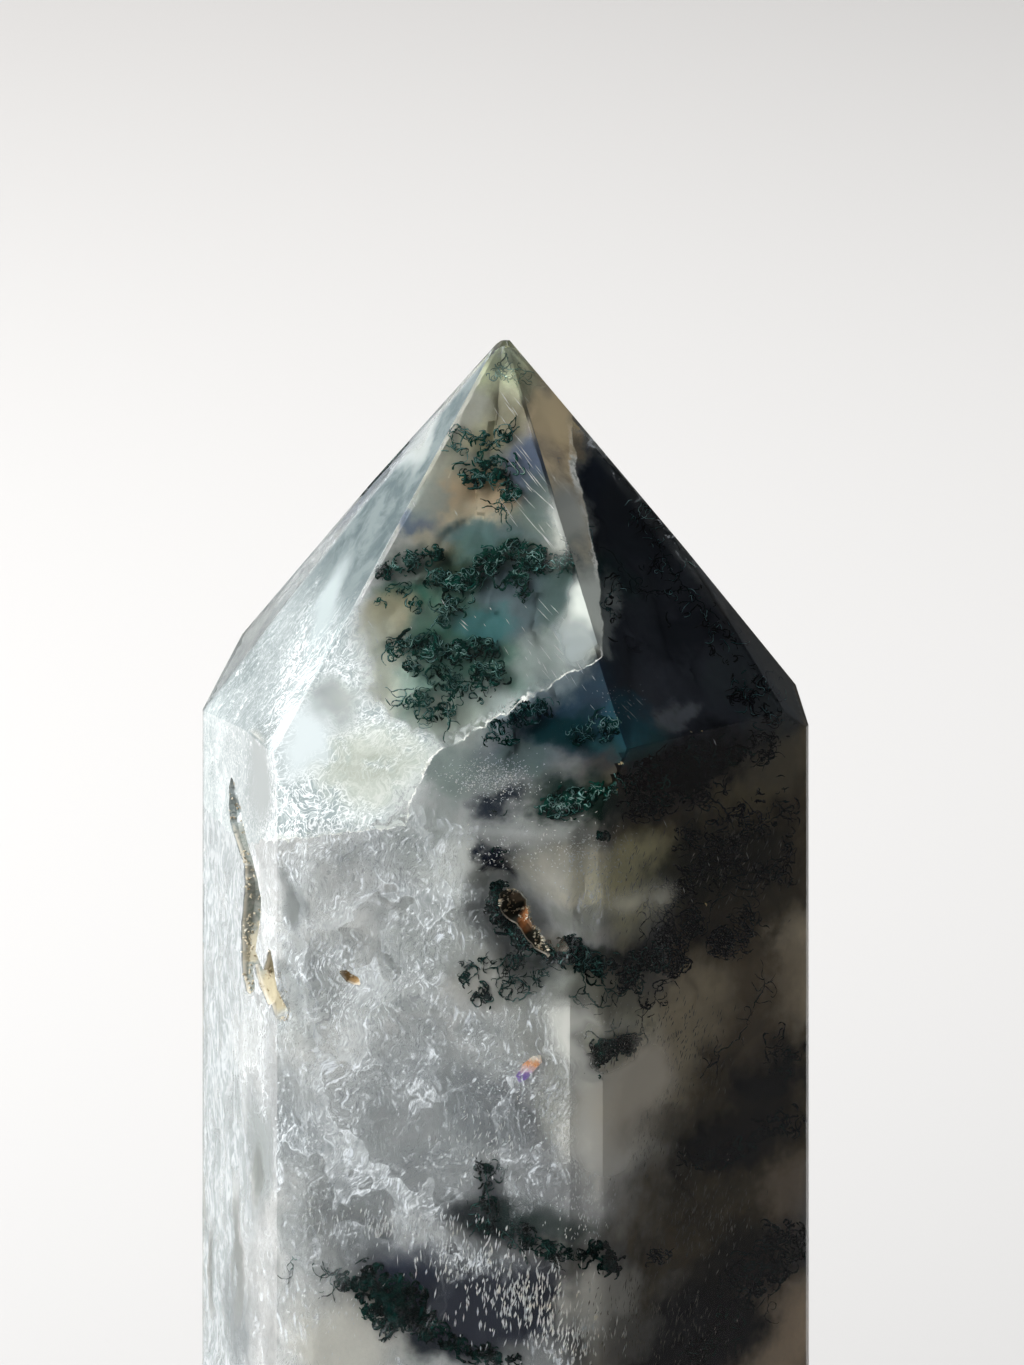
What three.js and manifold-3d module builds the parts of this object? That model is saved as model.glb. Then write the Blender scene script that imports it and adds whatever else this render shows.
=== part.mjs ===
// Moss agate tower: one polished stone, a six-sided prism that rises to an uneven point.
// Millimetres, +Z up, origin at the middle of the flat base, front side face towards -Y.

import * as THREE from 'three';
import { mergeVertices } from 'three/addons/utils/BufferGeometryUtils.js';
import Module from 'manifold-3d';

const wasm = await Module();
wasm.setup();

// Overall sizes
const apexHeight = 100;
const tipFlatHeight = 99.75;
const apothem = 19.05;
const cornerRadius = 22;
const shoulderHeight = 72;
const sideLean = 0.45;
const baseChamfer = 0.6;
const blankRadius = 26;
const grindingBlock = 300;

// The six side faces: azimuth in degrees from the front, distance from the axis at the shoulder.
const frontFace = { azimuth: 1, distance: 19.1 };
const rightFace = { azimuth: 60.4, distance: 19.1 };
const backRightFace = { azimuth: 120, distance: 19.05 };
const backFace = { azimuth: 180, distance: 19.05 };
const backLeftFace = { azimuth: 240, distance: 19.05 };
const leftFace = { azimuth: -58, distance: 18.9 };
const sideFaces = [frontFace, rightFace, backRightFace, backFace, backLeftFace, leftFace];

// The narrow strips that are ground along the six corners.
const cornerStrips = [
  { azimuth: -29.5, distance: 21 },
  { azimuth: 30.2, distance: 21.35 },
  { azimuth: 90, distance: 21.8 },
  { azimuth: 150, distance: 21.4 },
  { azimuth: 210, distance: 21.55 },
  { azimuth: 270, distance: 22.1 },
];

// The facets of the point. Each meets the side of the prism at a distance of reach from the axis,
// drop below the apex, and its plane crosses the axis at the height of the apex plus over.
const pointFacets = [
  { azimuth: 1, reach: apothem, drop: 30.3, over: 0 },
  { azimuth: 60, reach: apothem, drop: 24.9, over: 0 },
  { azimuth: 90, reach: cornerRadius, drop: 26.6, over: 3 },
  { azimuth: 120, reach: apothem, drop: 24.2, over: 0.2 },
  { azimuth: 180, reach: apothem, drop: 28, over: 0 },
  { azimuth: 241, reach: apothem, drop: 22.9, over: -0.1 },
  { azimuth: -62, reach: apothem, drop: 27, over: 1.4 },
  { azimuth: -58.3, reach: apothem, drop: 26.9, over: 0.4 },
];

const degrees = THREE.MathUtils.degToRad;

// Unit vector away from the axis at an azimuth, level with the ground.
function outward(azimuth) {
  const angle = degrees(azimuth);
  return new THREE.Vector3(Math.sin(angle), -Math.cos(angle), 0);
}

// A closed solid from a geometry, with only shared positions kept.
function solidFrom(geometry) {
  const bare = geometry.clone();
  bare.deleteAttribute('normal');
  bare.deleteAttribute('uv');
  const merged = mergeVertices(bare, 1e-5);
  return new wasm.Manifold(new wasm.Mesh({
    numProp: 3,
    vertProperties: new Float32Array(merged.attributes.position.array),
    triVerts: new Uint32Array(merged.index.array),
  }));
}

// A block that lies against a plane on its outer side. The plane has the given
// normal and holds the given point.
function blockOutside(normal, point) {
  const block = new THREE.BoxGeometry(grindingBlock, grindingBlock, grindingBlock);
  block.translate(0, 0, grindingBlock / 2);
  const turn = new THREE.Quaternion().setFromUnitVectors(new THREE.Vector3(0, 0, 1), normal);
  block.applyQuaternion(turn);
  block.translate(point.x, point.y, point.z);
  return solidFrom(block);
}

// Normal and one point of a side plane, which leans in a little towards the top.
function sidePlane({ azimuth, distance }) {
  const away = outward(azimuth);
  const normal = away.clone().setZ(Math.tan(degrees(sideLean))).normalize();
  const point = away.clone().multiplyScalar(distance).setZ(shoulderHeight);
  return { normal, point };
}

// Normal and one point of a facet of the point.
function pointPlane({ azimuth, reach, drop, over }) {
  const away = outward(azimuth);
  const normal = away.clone().multiplyScalar((drop + over) / reach).setZ(1).normalize();
  const point = away.clone().multiplyScalar(reach).setZ(apexHeight - drop);
  return { normal, point };
}

// Normal and one point of the small chamfer below a side plane.
function chamferPlane(side) {
  const away = outward(side.azimuth);
  const flare = shoulderHeight * Math.tan(degrees(sideLean));
  const normal = away.clone().setZ(-1).normalize();
  const point = away.clone().multiplyScalar(side.distance + flare - baseChamfer);
  return { normal, point };
}

// The polished tower before its pits, ground plane by plane from a round blank.
const blank = new THREE.CylinderGeometry(blankRadius, blankRadius, tipFlatHeight, 24);
blank.rotateX(Math.PI / 2);
blank.translate(0, 0, tipFlatHeight / 2);
let stone = solidFrom(blank);
const sides = [...sideFaces, ...cornerStrips];
const planes = [...sides.map(sidePlane), ...sides.map(chamferPlane), ...pointFacets.map(pointPlane)];
for (const { normal, point } of planes) {
  stone = stone.subtract(blockOutside(normal, point));
}

// Rough walls: a small push in or out that changes from one vertex to the next.
function roughness(a, b) {
  const wave = Math.sin(a * 12.9898 + b * 78.233) * 43758.5453;
  return 2 * (wave - Math.floor(wave)) - 1;
}

// A trough through a list of stations along its length. Each station is the place along the
// trough, in rising order, the left rim, the right rim and the depth there. Its rim is at z = 0.
const troughCutsAcross = 6;
const troughCutsBetween = 2;
const troughTop = 1.5;
const wallShare = 0.35;

function trough(stations, rough) {
  const cutsAlong = (stations.length - 1) * troughCutsBetween;
  const geometry = new THREE.BoxGeometry(1, 1, 1, troughCutsAcross, cutsAlong, 1);
  const vertices = geometry.attributes.position;
  for (let i = 0; i < vertices.count; i += 1) {
    const across = vertices.getX(i) + 0.5;
    const step = Math.round((vertices.getY(i) + 0.5) * cutsAlong);
    const before = Math.min(Math.floor(step / troughCutsBetween), stations.length - 2);
    const part = step / troughCutsBetween - before;
    const [along, left, right, depth] = stations[before].map(
      (value, k) => THREE.MathUtils.lerp(value, stations[before + 1][k], part));
    const bowl = 1 - Math.abs(2 * across - 1) ** 3;
    const floor = -depth * (wallShare + (1 - wallShare) * bowl);
    const wander = rough * roughness(step, 1);
    const bump = rough * roughness(step, Math.round(across * troughCutsAcross) + 2);
    const x = THREE.MathUtils.lerp(left, right, across) + wander;
    const z = vertices.getZ(i) < 0 ? floor + bump * bowl : troughTop;
    vertices.setXYZ(i, x, along, z);
  }
  return geometry;
}

// Puts a cutter on a side face: x runs right along the face, y runs up it and z out of it.
// The cutter is turned on the face and moved to the place (right, up).
function placeOnFace(geometry, face, { right = 0, up = 0, turn = 0 }) {
  const { normal, point } = sidePlane(face);
  const level = new THREE.Vector3(0, 0, 1).cross(normal).normalize();
  const rise = normal.clone().cross(level);
  const foot = point.clone().addScaledVector(rise, -point.z / rise.z);
  const frame = new THREE.Matrix4().makeBasis(level, rise, normal).setPosition(foot);
  geometry.rotateZ(degrees(turn));
  geometry.translate(right, up, 0);
  geometry.applyMatrix4(frame);
  return solidFrom(geometry);
}

// The long open pit on the left face.
const longPit = trough([
  [54.7, 0.7, 1.8, 0.4],
  [55.6, -0.3, 3.2, 1.2],
  [56.6, -0.5, 2.6, 1.6],
  [58.0, -0.7, 3.2, 1.8],
  [59.4, -0.6, 3.8, 2.2],
  [60.9, 0.0, 4.7, 2.4],
  [62.4, 0.3, 4.8, 2.2],
  [63.6, 0.1, 3.7, 1.6],
  [64.7, -2.0, 2.4, 1.2],
  [65.8, -3.8, 0.6, 1.6],
  [67.0, -4.1, -0.5, 1.5],
  [68.2, -3.9, -1.6, 1.0],
  [69.1, -3.6, -3.1, 0.25],
], 0.14);

// Its side branch, which runs over the edge of the face onto the corner strip.
const branchPit = trough([
  [54.9, 8.4, 10.0, 0.7],
  [55.6, 7.2, 10.3, 1.3],
  [56.4, 6.0, 9.7, 1.5],
  [57.3, 5.3, 8.9, 1.5],
  [58.3, 6.2, 8.3, 1.1],
  [59.3, 6.9, 7.5, 0.3],
], 0.1);

// The shallow break that joins the two.
const bridgePit = trough([
  [55.3, 6.4, 7.2, 0.25],
  [55.9, 4.6, 7.8, 0.6],
  [56.6, 3.4, 6.9, 0.8],
  [57.4, 2.7, 5.4, 0.7],
  [58.3, 2.6, 3.2, 0.3],
], 0.08);

// The crystal-lined hollow on the front face, wide at its top and narrow below a waist.
const vug = trough([
  [-2.8, -0.72, -0.48, 0.25],
  [-2.3, -0.85, -0.35, 0.7],
  [-1.7, -1.0, -0.1, 1.1],
  [-1.0, -1.05, 0.0, 1.3],
  [-0.4, -0.9, 0.05, 1.1],
  [0.1, -0.75, 0.25, 1.0],
  [0.5, -0.85, 0.55, 1.3],
  [1.1, -1.05, 0.9, 1.7],
  [1.7, -0.95, 1.0, 1.6],
  [2.2, -0.6, 0.65, 1.1],
  [2.6, -0.25, 0.1, 0.4],
], 0.08);

// A very small hollow near the left edge of the front face.
const pinVug = trough([
  [-0.8, -0.1, 0.1, 0.15],
  [-0.4, -0.3, 0.35, 0.5],
  [0.1, -0.38, 0.3, 0.6],
  [0.5, -0.28, 0.32, 0.4],
  [0.85, -0.1, 0.1, 0.15],
], 0.04);

stone = stone.subtract(placeOnFace(longPit, leftFace, {}));
stone = stone.subtract(placeOnFace(branchPit, leftFace, {}));
stone = stone.subtract(placeOnFace(bridgePit, leftFace, {}));
stone = stone.subtract(placeOnFace(vug, frontFace, { right: 6.6, up: 63.5, turn: 45 }));
stone = stone.subtract(placeOnFace(pinVug, frontFace, { right: -5.9, up: 58.6, turn: 60 }));

// Back to a mesh, with the middle of the base at the origin.
const cut = stone.getMesh();
const towerShape = new THREE.BufferGeometry();
towerShape.setAttribute('position', new THREE.BufferAttribute(cut.vertProperties, 3));
towerShape.setIndex(new THREE.BufferAttribute(cut.triVerts, 1));
towerShape.computeBoundingBox();
const middle = towerShape.boundingBox.getCenter(new THREE.Vector3());
towerShape.translate(-middle.x, -middle.y, -towerShape.boundingBox.min.z);
towerShape.computeVertexNormals();

const agate = new THREE.MeshStandardMaterial({ color: 0x8d999a, roughness: 0.18, metalness: 0 });
const tower = new THREE.Mesh(towerShape, agate);
tower.name = 'tower';

const mossAgateTower = new THREE.Group();
mossAgateTower.add(tower);

export default mossAgateTower;
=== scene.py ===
import math
import random

import bpy
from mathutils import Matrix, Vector, bvhtree, noise


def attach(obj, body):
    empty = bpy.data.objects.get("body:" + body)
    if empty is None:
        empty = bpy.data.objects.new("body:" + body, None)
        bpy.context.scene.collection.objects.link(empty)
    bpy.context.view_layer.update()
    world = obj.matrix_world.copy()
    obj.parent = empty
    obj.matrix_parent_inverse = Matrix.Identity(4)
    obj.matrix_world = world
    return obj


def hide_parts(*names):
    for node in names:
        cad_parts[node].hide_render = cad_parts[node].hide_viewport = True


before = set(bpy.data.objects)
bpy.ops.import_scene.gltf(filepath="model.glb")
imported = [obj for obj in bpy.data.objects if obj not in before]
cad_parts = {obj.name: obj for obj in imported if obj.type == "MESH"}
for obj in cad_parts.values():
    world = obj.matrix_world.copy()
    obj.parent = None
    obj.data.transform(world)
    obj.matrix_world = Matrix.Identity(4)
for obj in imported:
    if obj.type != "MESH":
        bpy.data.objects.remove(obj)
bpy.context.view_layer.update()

MM = 0.001

# Camera
# It stands a little above the tower's shoulder and looks down at the front face
# and the point. The picture cuts off the foot.
eye = Vector((159.70, -567.93, 211.63)) * MM
looked_at = Vector((2.09, -4.95, 76.66)) * MM
lens, film = 228.34, 36.0
picture_width, picture_height = 1024, 1365

camera_data = bpy.data.cameras.new("camera")
camera_data.sensor_width = film
camera_data.lens = lens
camera_data.clip_start = 0.01
camera_data.clip_end = 30.0
camera = bpy.data.objects.new("camera", camera_data)
camera.location = eye
camera.rotation_euler = (looked_at - eye).to_track_quat("-Z", "Y").to_euler()
bpy.context.scene.collection.objects.link(camera)
bpy.context.scene.camera = camera

# Floor and light
# A wide pale floor, a large soft light behind on the left, a smaller one on the left
# and a dim even sky, so that the left of the stone glows and its right stays dark.
bpy.ops.object.select_all(action="DESELECT")
bpy.ops.mesh.primitive_plane_add(size=8)
floor = bpy.context.object
floor.name = "floor"
floor_paint = bpy.data.materials.new("floor_paint")
floor_paint.use_nodes = True
floor_shader = floor_paint.node_tree.nodes["Principled BSDF"]
floor_shader.inputs["Base Color"].default_value = (0.56, 0.545, 0.535, 1)
floor_shader.inputs["Roughness"].default_value = 0.85
floor.data.materials.append(floor_paint)

sky = bpy.data.worlds.new("sky")
sky.use_nodes = True
sky.node_tree.nodes["Background"].inputs["Color"].default_value = (0.86, 0.92, 1.0, 1)
sky.node_tree.nodes["Background"].inputs["Strength"].default_value = 0.135
bpy.context.scene.world = sky
bpy.context.scene.view_settings.view_transform = "Standard"

for name, place, aim, size, power, spread, colour in [
    ("window_behind", (-0.90, 0.75, 0.75), (-0.1, 0.3, 0.0), 0.8, 11, 180, (1.0, 0.99, 0.97)),
    ("window_left", (-0.70, -0.45, 0.60), (-0.25, 0.15, 0.15), 0.6, 4.4, 64, (0.97, 0.99, 1.0)),
    ("ceiling", (-1.05, 0.9, 1.15), (-0.6, 0.7, 0.0), 1.0, 4.4, 180, (1.0, 0.98, 0.96)),
]:
    lamp_data = bpy.data.lights.new(name, "AREA")
    lamp_data.size = size
    lamp_data.energy = power
    lamp_data.spread = math.radians(spread)
    lamp_data.color = colour
    lamp = bpy.data.objects.new(name, lamp_data)
    lamp.location = place
    lamp.rotation_euler = (Vector(aim) - Vector(place)).to_track_quat("-Z", "Y").to_euler()
    bpy.context.scene.collection.objects.link(lamp)

# Tower
# The polished stone itself: one piece of moss agate, ground flat on a wheel and polished,
# with slightly rounded edges. Clear quartz, white frost and dark parts run through it; the dark on its right is partly
# painted shade and painted dark reflection.
bpy.ops.object.select_all(action="DESELECT")
solid = bpy.data.objects["tower"]
stone = bpy.data.objects.new("polished_stone", solid.data.copy())
bpy.context.scene.collection.objects.link(stone)
bpy.context.view_layer.objects.active = stone
stone.select_set(True)
bpy.ops.object.mode_set(mode="EDIT")
bpy.ops.mesh.select_all(action="SELECT")
bpy.ops.mesh.remove_doubles(threshold=0.002 * MM)
bpy.ops.mesh.dissolve_limited(angle_limit=math.radians(0.15))
bpy.ops.object.mode_set(mode="OBJECT")

# The flat faces, as outward normals and distances.
large_face = 12 * MM * MM
flats = [(face.normal.copy(), face.normal.dot(face.center)) for face in stone.data.polygons if face.area > large_face]

# The edges between large faces are rounded a little.
edge_rounding = 0.16 * MM
faces_of = {}
for face in stone.data.polygons:
    for key in face.edge_keys:
        faces_of.setdefault(key, []).append(face.area)
roundness = stone.data.attributes.new("bevel_weight_edge", "FLOAT", "EDGE")
for edge in stone.data.edges:
    roundness.data[edge.index].value = float(min(faces_of[edge.key]) > large_face / 4)
rounding = stone.modifiers.new("rounding", "BEVEL")
rounding.limit_method = "WEIGHT"
rounding.width = edge_rounding
rounding.segments = 2
bpy.ops.object.modifier_apply(modifier="rounding")
bpy.context.view_layer.update()
skin = bvhtree.BVHTree.FromObject(stone, bpy.context.evaluated_depsgraph_get())

ior = 1.54


def view_ray(x, y):
    """Direction in which the camera sees a point of the picture."""
    scale = film / lens / picture_height
    local = Vector(((x - picture_width / 2) * scale, (picture_height / 2 - y) * scale, -1))
    return (camera.rotation_euler.to_matrix() @ local).normalized()


def seen_at(x, y):
    """The place on the polished faces that the camera sees there, and the face's normal."""
    ray = view_ray(x, y)
    near, normal_there = -1.0, None
    for normal, distance in flats:
        facing = normal.dot(ray)
        if facing < 0:
            reach = (distance - normal.dot(eye)) / facing
            if reach > near:
                near, normal_there = reach, normal
    return eye + ray * near, normal_there


# The open hollows, as lines between places in the picture, and how deep the cloudy stone
# lies below them, in mm.
hollows = [
    [seen_at(*spot)[0] for spot in line]
    for line in [((238, 790), (248, 900)), ((248, 900), (250, 990)), ((256, 990), (277, 1005)),
                 ((508, 903), (524, 922)), ((524, 922), (542, 946)), ((345, 974), (356, 982))]]
below_hollows = 3.2


def cloud_depth(place):
    """How deep the cloudy stone starts below a place on the polish, in mm."""
    cover = sorted(distance - normal.dot(place) for normal, distance in flats)
    from_edge = max(0.0, min(1.0, cover[1] / (3.2 * MM))) ** 0.7
    swell = noise.fractal(place * 230, 1.0, 2.0, 4)
    reach, seeds = noise.voronoi(place * 300)
    plate = noise.noise_vector(seeds[0] * 7.3).dot(place * 300 - seeds[0])
    deep = 0.3 + from_edge * (1.55 + 0.75 * swell + 1.1 * plate)
    for start, end in hollows:
        along = end - start
        share = max(0.0, min(1.0, (place - start).dot(along) / along.length_squared))
        away = (place - start - along * share).length / MM
        near = max(0.0, min(1.0, (3.4 - away) / 1.8))
        deep = max(deep, near * below_hollows)
    return max(0.25, deep)


def inside_at(x, y, share):
    """The place that the camera sees there through the polish, at a share of the depth of the
    cloudy stone, and the normal of the face."""
    place, normal = seen_at(x, y)
    ray = view_ray(x, y)
    cosine = -normal.dot(ray)
    bent = ray / ior + normal * (cosine / ior - math.sqrt(1 - (1 - cosine * cosine) / ior ** 2))
    return place + bent * (cloud_depth(place) * share * MM / -bent.dot(normal)), normal


def at_face(normal, distance):
    """Like inside_at, for the face with a normal: x and y run along it and down it, 13.5 to the mm."""
    level = Vector((0, 0, 1)).cross(normal).normalized()
    flat_out = Vector((normal.x, normal.y, 0))

    def at(x, y, share):
        rise = -y / 13.5 * MM
        reach = (distance - normal.z * rise) / flat_out.length
        spot = flat_out.normalized() * reach + Vector((0, 0, rise)) + level * (x / 13.5 * MM)
        return spot - normal * (cloud_depth(spot) * share * MM), normal

    return at


# The faces that the picture doesn't show have clear bands with moss in them: the face, the place
# along and down it and half sizes, all 13.5 to the mm, and the colour of the cloud behind.
band_seed = random.Random(17)
hidden_bands = []
for normal, distance in flats:
    if abs(normal.z) > 0.95 or normal.dot(eye.normalized()) > 0.0:
        continue
    for height_mm in (82,) if normal.z > 0.3 else (14, 36, 58):
        tone = band_seed.choice([(0.08, 0.20, 0.18), (0.70, 0.60, 0.44), (0.20, 0.25, 0.33), (0.88, 0.88, 0.80)])
        hidden_bands.append((
            at_face(normal, distance), band_seed.uniform(-90, 90), -(height_mm + band_seed.uniform(-9, 9)) * 13.5,
            band_seed.uniform(50, 130), band_seed.uniform(24, 72), tone))


class Wire:
    """A socket in a material. Arithmetic on wires adds Math nodes."""

    def __init__(self, tree, socket=None):
        self.tree = tree
        self.socket = socket

    def node(self, kind, settings=None, inputs=None, output=0):
        made = self.tree.nodes.new(kind)
        for name, value in (settings or {}).items():
            if name == "curve":
                points = made.mapping.curves[0].points
                while len(points) < len(value):
                    points.new(0.5, 0.5)
                for point, spot in zip(points, value):
                    point.location = spot
                    point.handle_type = "VECTOR"
                made.mapping.update()
            else:
                setattr(made, name, value)
        for name, value in (inputs or {}).items():
            if isinstance(value, Wire):
                self.tree.links.new(value.socket, made.inputs[name])
            else:
                made.inputs[name].default_value = value
        return Wire(self.tree, made.outputs[output])

    def math(self, operation, *others):
        return self.node("ShaderNodeMath", {"operation": operation}, dict(enumerate((self, *others))))

    def __add__(self, other):
        return self.math("ADD", other)

    def __sub__(self, other):
        return self.math("SUBTRACT", other)

    def __rsub__(self, other):
        return self.node("ShaderNodeMath", {"operation": "SUBTRACT"}, {0: other, 1: self})

    def __mul__(self, other):
        return self.math("MULTIPLY", other)

    def __truediv__(self, other):
        return self.math("DIVIDE", other)

    __radd__ = __add__
    __rmul__ = __mul__


def step(value, low, high):
    """0 below low and 1 above high, smooth between them."""
    return value.node(
        "ShaderNodeMapRange", {"interpolation_type": "SMOOTHSTEP"},
        {"Value": value, "From Min": low, "From Max": high})


def vector(operation, a, b):
    return a.node("ShaderNodeVectorMath", {"operation": operation}, {0: a, 1: b})


def grain(place, size, detail=4.0, rough=0.55, stretch=(1, 1, 1), output="Factor"):
    """Noise with features about size mm across, 0 to 1."""
    scaled = vector("MULTIPLY", place, tuple(1 / (size * s) for s in stretch))
    return place.node(
        "ShaderNodeTexNoise", {}, {"Vector": scaled, "Scale": 1.0, "Detail": detail, "Roughness": rough},
        0 if output == "Factor" else 1)


def blend(share, first, second):
    """Colour between first and second."""
    return share.node("ShaderNodeMix", {"data_type": "RGBA"}, {0: share, 6: first, 7: second}, 2)


def between(share, first, second):
    """Number between first and second."""
    return share.node("ShaderNodeMix", {"data_type": "FLOAT"}, {0: share, 2: first, 3: second}, 0)


def patch(place, middle, radii, edge=0.35):
    """1 inside an ellipsoid, 0 outside, with an edge that is soft over a share of its size."""
    away = vector("SUBTRACT", place, tuple(c / MM for c in middle))
    scaled = vector("DIVIDE", away, radii)
    reach = place.node("ShaderNodeVectorMath", {"operation": "LENGTH"}, {0: scaled}, 1)
    return step(reach, 1 + edge, 1 - edge)


def stone_places(material):
    """Wires for the place in a material in mm, the same place a little swirled, and X, Y and Z."""
    material.use_nodes = True
    material.node_tree.nodes.clear()
    start = Wire(material.node_tree)
    place = vector("MULTIPLY", start.node("ShaderNodeTexCoord", output=3), (1000, 1000, 1000))
    swirl = vector("SUBTRACT", grain(place, 5.0, 3.0, output="Color"), (0.5, 0.5, 0.5))
    swirled = vector("ADD", place, vector("MULTIPLY", swirl, (4.5, 4.5, 4.5)))
    axes = start.node("ShaderNodeSeparateXYZ", inputs={0: place})
    return (place, swirled, *(Wire(start.tree, axes.socket.node.outputs[k]) for k in range(3)))


def light_side(place, x_mm, y_mm):
    """The stone is pale on its left and dark on its right, the dark partly its own colour and partly painted shade:
    distance across, in mm, with a cloudy border.
    """
    cloud = grain(place, 9.0, 4.0, 0.6)
    bulge = patch(place, seen_at(610, 1050)[0], (9, 9, 14), 0.4)
    return x_mm * 0.95 - y_mm * 0.2 + (cloud - 0.5) * 14 - bulge * 3.6


# Down the point runs a sharp, crinkled border: white and clear stone left of it; the dark right of it is painted shade
# and painted dark reflection.
top_mm, foot_mm, half_mm = 95.0, 65.0, 25.0


def border_through(height, spots):
    """Where in X a border through places in the picture lies at each height, in mm."""
    curve = [(0.0, 0.0)]
    for x, y in reversed(spots):
        spot = seen_at(x, y)[0] / MM
        curve.append(((spot.z - foot_mm) / (top_mm - foot_mm), (spot.x + half_mm) / (2 * half_mm)))
    curve.append((1.0, curve[-1][1]))
    share = height.node("ShaderNodeFloatCurve", {"curve": curve}, {"Factor": 1.0, "Value": height})
    return share * (2 * half_mm) - half_mm


agate = bpy.data.materials.new("agate")
place, swirled, x_mm, y_mm, z_mm = stone_places(agate)
wisps = grain(swirled, 2.2, 5.0, 0.62)
fine = grain(place, 0.5, 4.0, 0.7)
patchy = grain(place, 6.0, 2.0, 0.6)
leaning = place.node("ShaderNodeVectorRotate", {"rotation_type": "Y_AXIS"}, {"Vector": swirled, "Angle": -0.35})
hatch = grain(leaning, 0.30, 4.0, 0.66, (0.6, 0.6, 2.6))
fanned = place.node("ShaderNodeVectorRotate", {"rotation_type": "Y_AXIS"}, {"Vector": swirled, "Angle": -0.6})
fibres = grain(fanned, 0.15, 3.0, 0.66, (0.7, 0.7, 7.0))
upright = grain(swirled, 0.42, 3.0, 0.62, (0.7, 1.8, 3.6))
# Pale on the left, dark on the right: the dark is partly painted shade.
side = light_side(place, x_mm, y_mm)
pale = step(side, 15.5, 9.5)
snow = step(side + (wisps - 0.5) * 6, -10.0, -14.0) * step(y_mm + (patchy - 0.5) * 12, 7.0, 2.0)
front = step(y_mm, 0.0, -1.0)

# Crinkled border, with painted shade and dark reflection right of it and white along it.
crinkle = (grain(place, 1.6, 5.0, 0.65) - 0.5) * 2.2
height = (z_mm + crinkle * 0.6 - foot_mm) / (top_mm - foot_mm)
border = border_through(height, [
    (575, 400), (577, 470), (590, 530), (600, 580), (603, 655), (580, 668), (540, 690), (520, 705),
    (470, 735), (430, 760), (414, 800), (405, 826), (290, 838), (240, 842)])
left_of = border - x_mm + crinkle * 0.5
on_point = step(left_of, -0.08, 0.08) * front
inside_border = step(left_of, -0.05, 0.05) * front * step(z_mm, 96.0, 94.0) * step(z_mm, 66.0, 68.0)
rim_line = inside_border * step(left_of / (0.10 + step(patchy + (fine - 0.5) * 0.3, 0.34, 0.66) * 0.38), 1.0, 0.5)
rim_line = rim_line * between(step(wisps, 0.36, 0.58), 0.30, 1.0) * step(x_mm, -18.0, -16.5)
crinkled = step(grain(swirled, 0.55, 4.0, 0.7), 0.45, 0.57) * inside_border * step(left_of + (wisps - 0.5) * 3.0, 2.2, 0.5)
crinkled = crinkled * step(z_mm, 79.8, 77.0)
shade_and_reflection_past_border = (1 - step(left_of, -0.05, 0.05)) * front * step(z_mm + (wisps - 0.5) * 3, 71.5, 75.0) * step(x_mm, 1.0, 4.0)

# White frost fills the left of the point and thins out to the right.
frost_edge = border_through(height + (wisps - 0.5) * 0.12, [
    (458, 400), (418, 480), (388, 540), (368, 575), (362, 600), (368, 640), (376, 668), (376, 690),
    (386, 706), (410, 722), (438, 736), (452, 750), (412, 800), (405, 826), (290, 838), (240, 842)])
ridge_spot, ridge_normal = seen_at(480, 560)
off_ridge = ridge_normal.dot(ridge_spot) / MM - place.node(
    "ShaderNodeVectorMath", {"operation": "DOT_PRODUCT"}, {0: place, 1: ridge_normal}, 1)
past_ridge = step(off_ridge, 0.02, 0.12)
beside = past_ridge * step(x_mm, 3.0, 1.0)
right_strip = past_ridge * step(x_mm, 1.0, 3.0) * on_point
low_down = step(z_mm, 85.0, 80.0)
thinning = frost_edge - x_mm + (wisps - 0.5) * between(low_down, 0.6, 4.6)
frosted = on_point * step(thinning, -0.9, between(low_down, 0.7, 2.2)).math("MAXIMUM", beside)
clear_cream = patch(swirled, seen_at(372, 765)[0], (4.2, 4, 2.4), 0.7) * step(wisps, 0.25, 0.55)

# Broken plates in the grey stone, some with bright scalloped rims, and short upright flecks.
grey_part = pale * (1 - snow) * (1 - on_point)
waves = vector("SUBTRACT", grain(place, 3.0, 2.0, output="Color"), (0.5, 0.5, 0.5))
shards = vector("MULTIPLY", vector("ADD", place, vector("MULTIPLY", waves, (5.0, 5.0, 6.5))), (0.22, 0.22, 0.16))
to_rim = place.node("ShaderNodeTexVoronoi", {"feature": "DISTANCE_TO_EDGE"}, {"Vector": shards, "Scale": 1.0})
plate_tone = place.node("ShaderNodeSeparateXYZ", inputs={
    0: place.node("ShaderNodeTexVoronoi", {}, {"Vector": shards, "Scale": 1.0}, 1)})
to_rim = to_rim + (fine - 0.5) * 0.07
raised = step(plate_tone, 0.35, 0.75)
broken = grey_part * step(z_mm + (patchy - 0.5) * 16, 34.0, 44.0) * step(x_mm + (patchy - 0.5) * 6, 8.5, 5.0)
scallop = (step(to_rim, 0.30, 0.0) * 0.24 + step(to_rim, 0.035, 0.0) * step(wisps, 0.42, 0.62) * 0.6) * raised * broken
flecks = step(upright, 0.54, 0.66) * step(patchy + (1 - broken) * 0.10, 0.40, 0.60) * grey_part

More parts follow.
